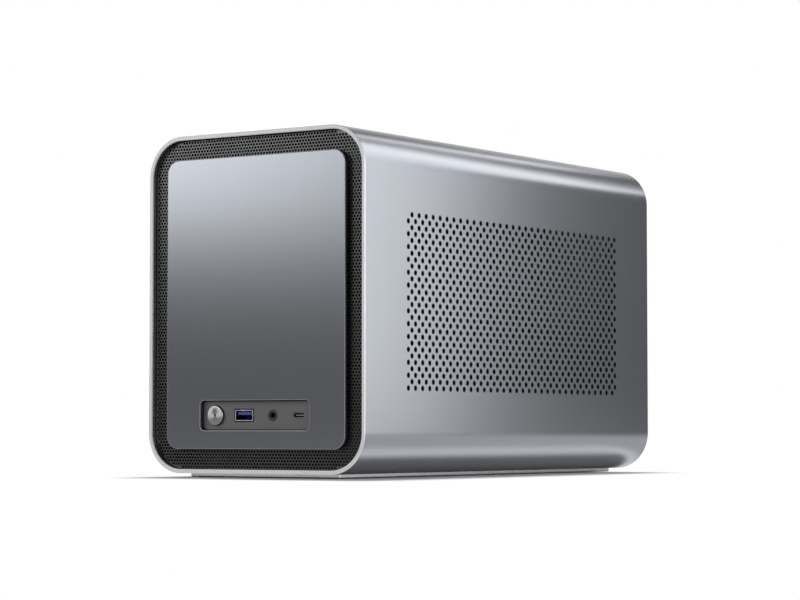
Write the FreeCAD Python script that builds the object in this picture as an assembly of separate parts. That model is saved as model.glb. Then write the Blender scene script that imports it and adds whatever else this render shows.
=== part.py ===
import FreeCAD, Part
import math
import os

V = FreeCAD.Vector

# Sleeve and foot sizes, in mm
SLEEVE_W = 168.0
SLEEVE_H = 213.0
SLEEVE_L = 352.0
SLEEVE_WALL = 2.5
SLEEVE_R = 25.5
RIM_BEVEL = 0.6
BASE_T = 2.3
BASE_INSET_X = 25.5
BASE_INSET_Y = 10.4
BASE_R = 2.0
BASE_EDGE = 0.5
BASE_SCREW_X = 8.0
BASE_SCREW_Y = 16.0
BASE_SCREW_SEAT = 1.4

# Drilled field on each side of the sleeve, from its ends and from the top
VENT_COLUMNS = 22
VENT_ROWS = 10
VENT_FROM_RIM = 48.3
VENT_FROM_REAR = 46.3
VENT_FROM_TOP = 53.05
VENT_HOLE = 8.6

# Front stack, measured back from the sleeve rim
PLATE_SIDE = 14.8
PLATE_TOP = 15.3
PLATE_T = 2.5
PLATE_R = 8.5
PLATE_EDGE = 0.4
MESH_SETBACK = 4.0
MESH_T = 1.0
MESH_GAP = 0.5
MESH_RETURN = 10.0
MESH_COLUMNS = 16
MESH_ROWS = 23
MESH_FROM_SIDE = 7.0
MESH_FROM_TOP = 8.25
MESH_HOLE = 5.6
MESH_BORDER = 1.6
SPACER_R = 4.0
SPACER_IN_X = 11.0
SPACER_IN_Z = 9.0
POCKET_W = 84.6
POCKET_H = 18.7
POCKET_R = 3.0
POCKET_RISE = 20.9
PORT_SETBACK = 3.5
BEZEL_T = 2.0
BEZEL_RIM = 3.7
BEZEL_R = 4.0

# Ports, from the ends of the pocket and from each other
BUTTON_FROM_END = 10.6
BUTTON_D = 12.0
BUTTON_PROUD = 2.0
BUTTON_TRAVEL = 0.8
BUTTON_LIP = 0.8
BUTTON_STEM_R = 2.0
BUTTON_L = 9.2
PLUNGER_R = 1.5
SWITCH_W = 7.0
SWITCH_L = 6.5
SWITCH_BORE = 4.5
SWITCH_GAP = 1.3
USB_A_FROM_BUTTON = 21.9
USB_A_W = 13.8
USB_A_H = 6.75
USB_A_L = 17.0
USB_C_FROM_END = 9.9
USB_C_W = 8.94
USB_C_H = 3.26
USB_C_L = 9.5
AUDIO_FROM_USB_C = 20.1
AUDIO_RING_D = 6.3
AUDIO_BORE_D = 3.6
AUDIO_BODY_W = 7.2
AUDIO_L = 15.0
PCB_T = 1.6
PCB_L = 20.0
PCB_SIDE = 1.0
ARM_W = 6.0
ARM_T = 4.0
ARM_L = 17.0
ARM_IN = 2.5

# Drawer chassis, folded from steel sheet
SHEET = 1.2
RUNNER_T = 0.8
RUNNER_W = 12.0
TUB_GAP = 10.3
TUB_FOLD = 13.2
TUB_LOW_WALL = 34.0
TRAY_GAP = 4.8
TRAY_LIP = 6.0
RAIL_H = 22.0
RAIL_LIP = 11.0
PAN_DEPTH = 28.0
PAN_TAB = 16.0
PORT_LEAD_UP = 6.0
PORT_LEAD_W = 56.0
PORT_LEAD_H = 14.0
PORT_LEAD_R = 5.0
PANEL_GAP = 1.1
PANEL_TAB = 12.0
REAR_SETBACK = 12.0
RING_GAP = 0.2
RING_SIDE = 12.0
RING_BAND = 2.2
RING_R = 6.0
FLOOR_VENTS = 9
FLOOR_VENT_H = 6.0
REAR_VENTS = 11
REAR_VENT_W = 34.0
REAR_VENT_H = 5.0

# Standard parts that the chassis takes
BOARD_T = 1.6
BOARD_RISE = 31.1
BOARD_TOP_GAP = 1.0
BOARD_HOLE_LOW = 6.35
BOARD_HOLE_HIGH = 6.17
BOARD_HOLES_BACK = (10.16, 33.02, 165.1)
STANDOFF_H = 6.5
STANDOFF_W = 5.5
STANDOFF_BORE = 1.25
COOLER_W = 84.0
COOLER_R = 6.0
COOLER_FROM_TOP = 65.0
COOLER_FROM_REAR = 75.0
LEAD_SLOT_W = 12.0
LEAD_SLOT_H = 44.0
LEAD_SLOT_BACK = 181.0
LEAD_SLOT_IN = 45.0
IO_W = 44.45
IO_SHORTER = 11.25
IO_RISE = 6.5
IO_UNDER_BOARD = 2.0
SLOT_PITCH = 20.32
SLOT_H = 12.4
CARD_H = 113.1
COVER_T = 0.9
COVER_W = 18.4
SHELF_L = 10.8
FAN_SIZE = 120.0
FAN_DEPTH = 25.0
FAN_SCREW_PITCH = 105.0
FAN_OVER_PORTS = 87.5
FAN_WALL = 2.0
FAN_FLANGE = 4.0
FAN_CORNER = 7.0
FAN_HUB_R = 20.5
FAN_SHAFT_R = 1.5
FAN_BLADES = 7
PSU_FROM_TOP = 40.8
PSU_HOLES_X = 113.0
PSU_HOLES_Z = 51.5
PSU_HOLE_R = 2.0
PSU_FACE_Y = -40.0
BRACKET_DOWN = 35.0
BRACKET_UP = 33.0
BRACKET_TAB = 13.0
BRACKET_SCREW_Y = 7.0
BRACKET_SCREW_LOW = 22.0
BRACKET_SCREW_MID = 20.0
BRACKET_SCREW_HIGH = 28.0
SUPPLY_WINDOW_W = 98.0
SUPPLY_WINDOW_H = 57.0
SUPPLY_WINDOW_R = 4.0
DRIVE_HOLES_Y = 76.6
DRIVE_HOLES_Z = 61.72
DRIVE_HOLE_R = 1.7
DRIVE_AHEAD = 40.0
DRIVE_RISE = 90.1
INLET_FROM_SIDE = 38.5
INLET_FROM_TOP = 22.8
INLET_FLANGE_W = 50.0
INLET_FLANGE_H = 23.0
INLET_FLANGE_T = 3.0
INLET_BODY_W = 27.0
INLET_BODY_H = 19.6
INLET_BODY_L = 20.0
INLET_MOUTH_W = 24.4
INLET_MOUTH_H = 16.6
INLET_MOUTH_CUT = 4.5
INLET_MOUTH_L = 16.0
INLET_SCREW_X = 20.0

# Fasteners as head radius, head height and shank radius
SCREW_FIT = 0.1
BASE_SCREW = (2.8, 1.0, 1.5)
CASE_SCREW = (2.8, 1.6, 1.5)
CASE_SCREW_TIP = 2.0
PLATE_SCREW = (2.7, 1.5, 1.4)
BOARD_SCREW = (2.2, 1.3, 1.0)
SLOT_SCREW = (3.4, 2.0, 1.6)
FAN_SCREW = (3.8, 1.6, 2.0)
FAN_SCREW_L = 9.0
RIVET = (2.8, 0.9, 1.55)
THUMB_HEAD_R = 4.6
THUMB_NECK_R = 3.6
THUMB_SHANK_R = 1.6
THUMB_SHANK_L = 8.0
THUMB_HEAD_L = 7.5
THUMB_CLEAR = 0.4
THUMB_FROM_SIDE = 6.5

# Planes and places that follow from the sizes
FRONT_Y = -SLEEVE_L / 2
REAR_Y = SLEEVE_L / 2
MID_Z = BASE_T + SLEEVE_H / 2
IN_X = SLEEVE_W / 2 - SLEEVE_WALL
IN_Z0 = BASE_T + SLEEVE_WALL
IN_Z1 = BASE_T + SLEEVE_H - SLEEVE_WALL
IN_R = SLEEVE_R - SLEEVE_WALL
PLATE_W = SLEEVE_W - 2 * PLATE_SIDE
PLATE_H = SLEEVE_H - 2 * PLATE_TOP
PLATE_BACK = FRONT_Y + PLATE_T
MESH_Y = FRONT_Y + MESH_SETBACK
MESH_BACK = MESH_Y + MESH_T
PORT_Y = FRONT_Y + PORT_SETBACK
PORT_Z = BASE_T + PLATE_TOP + POCKET_RISE
BEZEL_W = POCKET_W + 2 * BEZEL_RIM
BEZEL_H = POCKET_H + 2 * BEZEL_RIM
BEZEL_BACK = PORT_Y + BEZEL_T
ARM_X = POCKET_W / 2 - ARM_IN
BUTTON_X = BUTTON_FROM_END - POCKET_W / 2
USB_A_X = BUTTON_X + USB_A_FROM_BUTTON
USB_C_X = POCKET_W / 2 - USB_C_FROM_END
AUDIO_X = USB_C_X - AUDIO_FROM_USB_C
PCB_TOP = PORT_Z - USB_A_H / 2
BUTTON_FACE = PORT_Y - BUTTON_PROUD
PAN_GAP = MESH_GAP + MESH_T + 0.1
PAN_BACK = MESH_BACK + PAN_DEPTH
REAR_FACE = REAR_Y - REAR_SETBACK
REAR_INNER = REAR_FACE - SHEET
RING_Y = REAR_FACE + RING_GAP
FLOOR_Z = IN_Z0 + RUNNER_T + 0.3
TUB_X = IN_X - TUB_GAP
TUB_IN = TUB_X - SHEET
TUB_FLOOR_W = 2 * (TUB_X - TUB_FOLD)
TAB_Z = FLOOR_Z + TUB_FOLD + 3.0
TRAY_TOP = IN_Z1 - TRAY_GAP
FAN_BACK = PAN_BACK - SHEET
FAN_FRONT = FAN_BACK - FAN_DEPTH
FAN_Z = PORT_Z + FAN_OVER_PORTS
FAN_BORE = FAN_SIZE / 2 - FAN_WALL
BOARD_Z = FLOOR_Z + BOARD_RISE
BOARD_SIZE = TRAY_TOP - BOARD_TOP_GAP - BOARD_Z
BOARD_FACE_X = TUB_IN - STANDOFF_H - BOARD_T
BOARD_HOLES = [
    (REAR_INNER - BOARD_HOLES_BACK[0], BOARD_Z + BOARD_HOLE_LOW),
    (REAR_INNER - BOARD_HOLES_BACK[2], BOARD_Z + BOARD_HOLE_LOW),
    (REAR_INNER - BOARD_HOLES_BACK[1], BOARD_Z + BOARD_SIZE - BOARD_HOLE_HIGH),
    (REAR_INNER - BOARD_HOLES_BACK[2], BOARD_Z + BOARD_SIZE - BOARD_HOLE_HIGH),
]
IO_H = BOARD_SIZE - IO_SHORTER
IO_X = TUB_IN - STANDOFF_H + IO_UNDER_BOARD - IO_W / 2
IO_Z = BOARD_Z + BOARD_SIZE / 2 + IO_RISE
SHELF_X = BOARD_FACE_X - CARD_H
SLOT_CENTRES = (BOARD_Z, BOARD_Z - SLOT_PITCH)
SLOT_SCREW_Y = REAR_FACE + 6.0
BLADE_END = TUB_FLOOR_W / 2 - 0.5
PSU_Z = IN_Z1 - PSU_FROM_TOP
DRIVE_Y = PSU_FACE_Y - DRIVE_AHEAD
DRIVE_Z = FLOOR_Z + DRIVE_RISE
INLET_X = INLET_FROM_SIDE - IN_X
INLET_Z = IN_Z1 - INLET_FROM_TOP
INLET_FACE = REAR_FACE + INLET_FLANGE_T
THUMB_X = IN_X - THUMB_FROM_SIDE
THUMB_Z = SLEEVE_H / 3
PAN_RIVET_Y = PAN_BACK + PAN_TAB / 2
PANEL_RIVET_Y = REAR_INNER - PANEL_TAB / 2
RIVETS = [
    (1, PAN_RIVET_Y, TUB_LOW_WALL + 6.0), (1, PAN_RIVET_Y, MID_Z + 21.2),
    (1, PANEL_RIVET_Y, TUB_LOW_WALL + 6.0), (1, PANEL_RIVET_Y, TRAY_TOP - 18.0),
    (-1, PAN_RIVET_Y, TUB_LOW_WALL - 6.0), (-1, PANEL_RIVET_Y, TUB_LOW_WALL - 6.0),
]
BRACKET_SCREWS = [
    (1, PSU_Z - BRACKET_SCREW_LOW), (1, PSU_Z + BRACKET_SCREW_MID),
    (-1, PSU_Z + BRACKET_SCREW_MID), (-1, PSU_Z + BRACKET_SCREW_HIGH),
]


def at(axis, a, b, c):
    """Point from two in-plane values and one along the axis."""
    if axis == "x":
        return V(c, a, b)
    if axis == "y":
        return V(a, c, b)
    return V(a, b, c)


def along(axis, length):
    return at(axis, 0, 0, length)


def corners(half_a, half_b, a=0.0, b=0.0):
    """Four places at the corners of a rectangle round a and b."""
    return [(a + i * half_a, b + j * half_b) for i in (-1, 1) for j in (-1, 1)]


def prism(axis, points, c0, c1):
    """Extruded polygon."""
    loop = [at(axis, a, b, c0) for a, b in points]
    wire = Part.makePolygon(loop + [loop[0]])
    return Part.Face(wire).extrude(along(axis, c1 - c0))


def block(x0, x1, y0, y1, z0, z1):
    return Part.makeBox(x1 - x0, y1 - y0, z1 - z0, V(x0, y0, z0))


def slab(axis, a, b, w, h, r, c0, c1):
    """Extruded rectangle with round corners, centred on a and b."""
    x0, x1, y0, y1 = a - w / 2, a + w / 2, b - h / 2, b + h / 2
    k = r * (1 - math.sqrt(0.5))
    rows = [
        ((x0 + r, y0), (x1 - r, y0), (x1 - k, y0 + k), (x1, y0 + r)),
        ((x1, y0 + r), (x1, y1 - r), (x1 - k, y1 - k), (x1 - r, y1)),
        ((x1 - r, y1), (x0 + r, y1), (x0 + k, y1 - k), (x0, y1 - r)),
        ((x0, y1 - r), (x0, y0 + r), (x0 + k, y0 + k), (x0 + r, y0)),
    ]
    edges = []
    for start, turn, middle, end in rows:
        p, q, m, e = [at(axis, u, v, c0) for u, v in (start, turn, middle, end)]
        if (q - p).Length > 1e-6:
            edges.append(Part.makeLine(p, q))
        edges.append(Part.Arc(q, m, e).toShape())
    return Part.Face(Part.Wire(edges)).extrude(along(axis, c1 - c0))


def rod(axis, a, b, r, c0, c1):
    return Part.makeCylinder(r, c1 - c0, at(axis, a, b, c0), along(axis, 1))


def hexagon(a, b, width):
    """Corners of a hexagon with the given width across its flats."""
    r = width / math.sqrt(3)
    steps = [math.radians(60 * i + 30) for i in range(6)]
    return [(a + r * math.cos(t), b + r * math.sin(t)) for t in steps]


def slot(a, b, w, h):
    """Corners of a long slot with pointed ends, longest along the first value."""
    e = h / 2
    return [(a - w / 2, b), (a - w / 2 + e, b - e), (a + w / 2 - e, b - e),
            (a + w / 2, b), (a + w / 2 - e, b + e), (a - w / 2 + e, b + e)]


def turned(profile, x, z):
    """Body turned about an axis along Y through x and z; the profile gives radius and Y."""
    loop = [V(r, y, 0) for r, y in profile]
    body = Part.Face(Part.makePolygon(loop + [loop[0]])).revolve(V(0, 0, 0), V(0, 1, 0), 360)
    body.translate(V(x, 0, z))
    return body


def folded(axis, points, c0, c1, side=1, thickness=SHEET):
    """Sheet folded along a line of points, thickness laid to one side, extruded along the axis."""
    wire = Part.makePolygon([at(axis, a, b, c0) for a, b in points])
    face = wire.makeOffset2D(side * thickness, 0, True, True, False)
    return face.extrude(along(axis, c1 - c0))


def fold_side(axis, points, probe):
    """Sign that lays the sheet of a folded path towards the probe point."""
    trial = folded(axis, points, 0, 1)
    return 1 if trial.isInside(probe, 1e-6, True) else -1


def front_edges(shape, y):
    return [e for e in shape.Edges if all(abs(v.Y - y) < 1e-6 for v in e.Vertexes)]


def pan_screw(kind, axis, a, b, c, out, shank_l):
    """Pan-head screw seated on plane c, its head on the side given by out."""
    head_r, head_t, shank_r = kind
    c0, c1 = sorted((c, c + out * head_t))
    d0, d1 = sorted((c, c - out * shank_l))
    return rod(axis, a, b, head_r, c0, c1).fuse(rod(axis, a, b, shank_r, d0, d1)).removeSplitter()


def screw_hole(kind, axis, a, b, c0, c1):
    """Cutter for the shank of a screw."""
    return rod(axis, a, b, kind[2] + SCREW_FIT, c0, c1)


def sleeve():
    body = slab("y", 0, MID_Z, SLEEVE_W, SLEEVE_H, SLEEVE_R, FRONT_Y, REAR_Y)
    body = body.makeChamfer(RIM_BEVEL, front_edges(body, FRONT_Y))
    inside = slab("y", 0, MID_Z, 2 * IN_X, IN_Z1 - IN_Z0, IN_R, FRONT_Y - 1, REAR_Y + 1)
    body = body.cut(inside)
    length, height = SLEEVE_L - VENT_FROM_RIM - VENT_FROM_REAR, SLEEVE_H - 2 * VENT_FROM_TOP
    holes = []
    for i in range(VENT_COLUMNS):
        for j in range(VENT_ROWS):
            if (i + j) % 2:
                y = FRONT_Y + VENT_FROM_RIM + length * i / (VENT_COLUMNS - 1)
                z = MID_Z + height * (j / (VENT_ROWS - 1) - 0.5)
                holes.append(prism("x", hexagon(y, z, VENT_HOLE), -SLEEVE_W, SLEEVE_W))
    for x, y in base_screw_spots():
        holes.append(screw_hole(BASE_SCREW, "z", x, y, 0, IN_Z0 + 1))
    return body.cut(Part.makeCompound(holes))


def base_screw_spots():
    return corners(SLEEVE_W / 2 - BASE_INSET_X - BASE_SCREW_X, SLEEVE_L / 2 - BASE_INSET_Y - BASE_SCREW_Y)


def base_plate():
    body = slab("z", 0, 0, SLEEVE_W - 2 * BASE_INSET_X, SLEEVE_L - 2 * BASE_INSET_Y, BASE_R, 0, BASE_T)
    foot = [e for e in body.Edges if all(abs(v.Z) < 1e-6 for v in e.Vertexes)]
    body = body.makeChamfer(BASE_EDGE, foot)
    for x, y in base_screw_spots():
        body = body.cut(rod("z", x, y, BASE_SCREW[0] + 4 * SCREW_FIT, -1, BASE_SCREW_SEAT))
        body = body.cut(screw_hole(BASE_SCREW, "z", x, y, -1, BASE_T + 1))
    return body


def base_screws():
    reach = SLEEVE_WALL + BASE_T - BASE_SCREW_SEAT - 0.2
    return [pan_screw(BASE_SCREW, "z", x, y, BASE_SCREW_SEAT, -1, reach) for x, y in base_screw_spots()]


def runner(side):
    x = side * TUB_FLOOR_W / 3
    top = RUNNER_W / 2 - 0.6
    outline = [(x - RUNNER_W / 2, IN_Z0), (x + RUNNER_W / 2, IN_Z0),
               (x + top, IN_Z0 + RUNNER_T), (x - top, IN_Z0 + RUNNER_T)]
    return prism("y", outline, PAN_BACK + 6.0, REAR_INNER - 10.0)


def rear_ring():
    play = 0.05
    w, h, r = 2 * (IN_X - play), IN_Z1 - IN_Z0 - 2 * play, IN_R - play
    ring = slab("y", 0, MID_Z, w, h, r, RING_Y, REAR_Y - 1.0)
    ring = ring.cut(slab("y", 0, MID_Z, w - 2 * SHEET, h - 2 * SHEET, r - SHEET, RING_Y + SHEET, REAR_Y))
    wall0, wall1 = RING_Y - 1, RING_Y + SHEET + 1
    ring = ring.cut(slab("y", 0, MID_Z, 2 * (IN_X - RING_SIDE), h - 2 * RING_BAND, RING_R, wall0, wall1))
    return ring.cut(Part.makeCompound(thumb_holes(wall0, wall1)))


def thumb_spots():
    return corners(THUMB_X, THUMB_Z, 0, MID_Z)


def thumb_holes(y0, y1):
    return [rod("y", x, z, THUMB_SHANK_R + THUMB_CLEAR, y0, y1) for x, z in thumb_spots()]


def thumbscrews():
    seat = RING_Y + SHEET
    end = seat + THUMB_HEAD_L
    profile = [
        (0, seat - THUMB_SHANK_L), (THUMB_SHANK_R, seat - THUMB_SHANK_L), (THUMB_SHANK_R, seat),
        (THUMB_NECK_R, seat), (THUMB_NECK_R, seat + 1.5), (THUMB_HEAD_R, seat + 2.0),
        (THUMB_HEAD_R, end - 0.5), (THUMB_HEAD_R - 0.5, end), (0, end),
    ]
    return [turned(profile, x, z) for x, z in thumb_spots()]


def chassis_tub():
    path = [(-TUB_X, TUB_LOW_WALL), (-TUB_X, FLOOR_Z + TUB_FOLD), (-TUB_FLOOR_W / 2, FLOOR_Z),
            (TUB_FLOOR_W / 2, FLOOR_Z), (TUB_X, FLOOR_Z + TUB_FOLD), (TUB_X, TRAY_TOP),
            (TUB_X - TRAY_LIP, TRAY_TOP)]
    tub = folded("y", path, PAN_BACK, REAR_INNER, FOLD_IN)
    cuts = []
    end = 30.0
    for i in range(FLOOR_VENTS):
        y = PAN_BACK + end + (REAR_INNER - PAN_BACK - 2 * end) * i / (FLOOR_VENTS - 1)
        vent = slot(0, y, TUB_FLOOR_W / 2, FLOOR_VENT_H)
        cuts.append(prism("z", vent, FLOOR_Z - 1, FLOOR_Z + SHEET + 1))
    wall0, wall1 = TUB_IN - 1, TUB_X + 1
    cooler_z = BOARD_Z + BOARD_SIZE - COOLER_FROM_TOP
    cooler_y = REAR_INNER - COOLER_FROM_REAR
    cuts.append(slab("x", cooler_y, cooler_z, COOLER_W, COOLER_W, COOLER_R, wall0, wall1))
    for z in (BOARD_Z + LEAD_SLOT_IN, BOARD_Z + BOARD_SIZE - LEAD_SLOT_IN):
        y = REAR_INNER - LEAD_SLOT_BACK
        cuts.append(slab("x", y, z, LEAD_SLOT_W, LEAD_SLOT_H, LEAD_SLOT_W / 2 - 1, wall0, wall1))
    for y, z in BOARD_HOLES:
        cuts.append(screw_hole(CASE_SCREW, "x", y, z, wall0, wall1))
    for y, z in corners(DRIVE_HOLES_Y / 2, DRIVE_HOLES_Z / 2, DRIVE_Y, DRIVE_Z):
        cuts.append(rod("x", y, z, DRIVE_HOLE_R, wall0, wall1))
    cuts += rivet_holes(RIVETS)
    for side, z in BRACKET_SCREWS:
        if side > 0:
            cuts.append(screw_hole(CASE_SCREW, "x", PSU_FACE_Y + BRACKET_SCREW_Y, z, wall0, wall1))
    return tub.cut(Part.makeCompound(cuts))


def rivet_holes(spots):
    reach = 2 * SHEET
    return [screw_hole(RIVET, "x", y, z, side * TUB_X - reach, side * TUB_X + reach) for side, y, z in spots]


def side_tabs(y0, y1):
    """Tabs bent from an end wall against the outer faces of the tub."""
    right = block(TUB_X, TUB_X + SHEET, y0, y1, TAB_Z, TRAY_TOP - TRAY_LIP)
    left = block(-TUB_X - SHEET, -TUB_X, y0, y1, TAB_Z, TUB_LOW_WALL - 1.0)
    return right.fuse(left)


def fan_screw_spots():
    return corners(FAN_SCREW_PITCH / 2, FAN_SCREW_PITCH / 2, 0, FAN_Z)


def front_pan():
    w, h, r = 2 * (IN_X - PAN_GAP), IN_Z1 - IN_Z0 - 2 * PAN_GAP, IN_R - PAN_GAP
    pan = slab("y", 0, MID_Z, w, h, r, MESH_BACK, PAN_BACK)
    pan = pan.cut(slab("y", 0, MID_Z, w - 2 * SHEET, h - 2 * SHEET, r - SHEET, MESH_BACK - 1, FAN_BACK))
    pan = pan.fuse(side_tabs(FAN_BACK, PAN_BACK + PAN_TAB)).removeSplitter()
    wall0, wall1 = FAN_BACK - 1, PAN_BACK + 1
    cuts = [rod("y", 0, FAN_Z, FAN_BORE, wall0, wall1)]
    cuts += [screw_hole(FAN_SCREW, "y", x, z, wall0, wall1) for x, z in fan_screw_spots()]
    cuts.append(slab("y", 0, PORT_Z + PORT_LEAD_UP, PORT_LEAD_W, PORT_LEAD_H, PORT_LEAD_R, wall0, wall1))
    cuts += rivet_holes([spot for spot in RIVETS if spot[1] < 0])
    return pan.cut(Part.makeCompound(cuts))


def rear_panel():
    z0, z1 = FLOOR_Z, IN_Z1 - PANEL_GAP
    w, r = 2 * (IN_X - PANEL_GAP), IN_R - PANEL_GAP
    panel = slab("y", 0, (z0 + z1) / 2, w, z1 - z0, r, REAR_INNER, REAR_FACE)
    shelf_z0, shelf_z1 = SLOT_CENTRES[1] - COVER_W / 2 + 1, SLOT_CENTRES[0] + COVER_W / 2 + 1
    shelf = block(SHELF_X, SHELF_X + SHEET, REAR_INNER, REAR_FACE + SHELF_L, shelf_z0, shelf_z1)
    panel = panel.fuse(shelf).fuse(side_tabs(REAR_INNER - PANEL_TAB, REAR_FACE)).removeSplitter()
    wall0, wall1 = REAR_INNER - 0.5, REAR_FACE + 0.5
    cuts = [slab("y", IO_X, IO_Z, IO_W, IO_H, 1.0, wall0, wall1)]
    for z in SLOT_CENTRES:
        cuts.append(block(SHELF_X + SHEET, BLADE_END - 2.5, wall0, wall1, z - SLOT_H / 2, z + SLOT_H / 2))
        tail = COVER_W / 2 + 0.2
        cuts.append(block(SHELF_X - COVER_T - 0.3, SHELF_X, wall0, wall1, z - tail, z + tail))
        cuts.append(screw_hole(SLOT_SCREW, "x", SLOT_SCREW_Y, z, SHELF_X - 1, SHELF_X + SHEET + 1))
    cuts.append(slab("y", INLET_X, INLET_Z, INLET_BODY_W + 0.6, INLET_BODY_H + 0.6, 1.0, wall0, wall1))
    cuts += [screw_hole(CASE_SCREW, "y", x, INLET_Z, wall0, wall1) for x in inlet_screw_spots()]
    low, high = BOARD_Z + 24.0, INLET_Z - 28.0
    io_edge = IO_X - IO_W / 2
    for i in range(REAR_VENTS):
        z = low + (high - low) * i / (REAR_VENTS - 1)
        for x in (io_edge - 26.0, io_edge - 30.0 - REAR_VENT_W):
            cuts.append(prism("y", slot(x, z, REAR_VENT_W, REAR_VENT_H), wall0, wall1))
    cuts += thumb_holes(wall0, wall1)
    cuts += rivet_holes([spot for spot in RIVETS if spot[1] > 0])
    return panel.cut(Part.makeCompound(cuts))


def rivets():
    seat = TUB_X + SHEET
    return [pan_screw(RIVET, "x", y, z, side * seat, side, 2 * SHEET) for side, y, z in RIVETS]


def top_rail():
    path = [(-TUB_X, TRAY_TOP - RAIL_H), (-TUB_X, TRAY_TOP), (-TUB_X + RAIL_LIP, TRAY_TOP)]
    rail = folded("y", path, PAN_BACK, REAR_INNER, -FOLD_IN)
    for side, z in BRACKET_SCREWS:
        if side < 0:
            y = PSU_FACE_Y + BRACKET_SCREW_Y
            rail = rail.cut(screw_hole(CASE_SCREW, "x", y, z, -TUB_X - 1, -TUB_IN + 1))
    return rail


def psu_bracket():
    y0, y1 = PSU_FACE_Y, PSU_FACE_Y + BRACKET_TAB
    path = [(-TUB_IN, y1), (-TUB_IN, y0), (TUB_IN, y0), (TUB_IN, y1)]
    bracket = folded("z", path, PSU_Z - BRACKET_DOWN, PSU_Z + BRACKET_UP, FOLD_IN_Z)
    wall0, wall1 = y0 - 1, y0 + SHEET + 1
    cuts = [slab("y", 0, PSU_Z, SUPPLY_WINDOW_W, SUPPLY_WINDOW_H, SUPPLY_WINDOW_R, wall0, wall1)]
    for x, z in corners(PSU_HOLES_X / 2, PSU_HOLES_Z / 2, 0, PSU_Z):
        cuts.append(rod("y", x, z, PSU_HOLE_R, wall0, wall1))
    for side, z in BRACKET_SCREWS:
        x = side * TUB_IN
        cuts.append(screw_hole(CASE_SCREW, "x", y0 + BRACKET_SCREW_Y, z, x - 2 * SHEET, x + 2 * SHEET))
    return bracket.cut(Part.makeCompound(cuts))


def bracket_screws():
    y, reach = PSU_FACE_Y + BRACKET_SCREW_Y, 2 * SHEET + CASE_SCREW_TIP
    return [pan_screw(CASE_SCREW, "x", y, z, side * TUB_X, side, reach) for side, z in BRACKET_SCREWS]


def motherboard_standoffs():
    parts = []
    for y, z in BOARD_HOLES:
        post = prism("x", hexagon(y, z, STANDOFF_W), TUB_IN - STANDOFF_H, TUB_IN)
        post = post.fuse(rod("x", y, z, CASE_SCREW[2], TUB_IN - 0.1, TUB_X))
        parts.append(post.cut(rod("x", y, z, STANDOFF_BORE, TUB_IN - STANDOFF_H - 1, TUB_IN - 0.8)))
    return parts


def slot_cover(z):
    path = [(SHELF_X, REAR_FACE + SHELF_L), (SHELF_X, REAR_INNER), (BLADE_END, REAR_INNER)]
    cover = folded("z", path, z - COVER_W / 2, z + COVER_W / 2, COVER_OUT, COVER_T)
    tip = COVER_W / 2 + 1
    for lo, hi in ((z - tip, z - 4.0), (z + 4.0, z + tip)):
        cover = cover.cut(block(BLADE_END - 4.0, BLADE_END + 1, REAR_INNER - 2, REAR_INNER + 1, lo, hi))
    notch = rod("x", SLOT_SCREW_Y, z, SLOT_SCREW[2] + 0.6, SHELF_X - 2 * COVER_T, SHELF_X + 1)
    return cover.cut(notch)


def slot_screws():
    seat = SHELF_X - COVER_T
    return [pan_screw(SLOT_SCREW, "x", SLOT_SCREW_Y, z, seat, -1, 5.0) for z in SLOT_CENTRES]


def inlet_screw_spots():
    return (INLET_X - INLET_SCREW_X, INLET_X + INLET_SCREW_X)


def power_inlet():
    body = slab("y", INLET_X, INLET_Z, INLET_FLANGE_W, INLET_FLANGE_H, 7.0, REAR_FACE, INLET_FACE)
    deep = INLET_FACE - INLET_BODY_L
    body = body.fuse(slab("y", INLET_X, INLET_Z, INLET_BODY_W, INLET_BODY_H, 1.5, deep, INLET_FACE))
    body = body.removeSplitter()
    w, h, c = INLET_MOUTH_W / 2, INLET_MOUTH_H / 2, INLET_MOUTH_CUT
    mouth = [(-w, -h), (w, -h), (w, h - c), (w - c, h), (-w + c, h), (-w, h - c)]
    mouth = [(INLET_X + a, INLET_Z + b) for a, b in mouth]
    body = body.cut(prism("y", mouth, INLET_FACE - INLET_MOUTH_L, INLET_FACE + 1))
    for x in inlet_screw_spots():
        body = body.cut(screw_hole(CASE_SCREW, "y", x, INLET_Z, REAR_FACE - 1, INLET_FACE + 1))
    return body


def inlet_pins():
    y0 = INLET_FACE - INLET_MOUTH_L
    spots = [(-7.0, -1.5), (0.0, 1.5), (7.0, -1.5)]
    return [slab("y", INLET_X + a, INLET_Z + b, 2.0, 4.0, 0.4, y0, y0 + 12.0) for a, b in spots]


def inlet_screws():
    reach = INLET_FLANGE_T + SHEET + CASE_SCREW_TIP
    return [pan_screw(CASE_SCREW, "y", x, INLET_Z, INLET_FACE, 1, reach) for x in inlet_screw_spots()]


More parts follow.
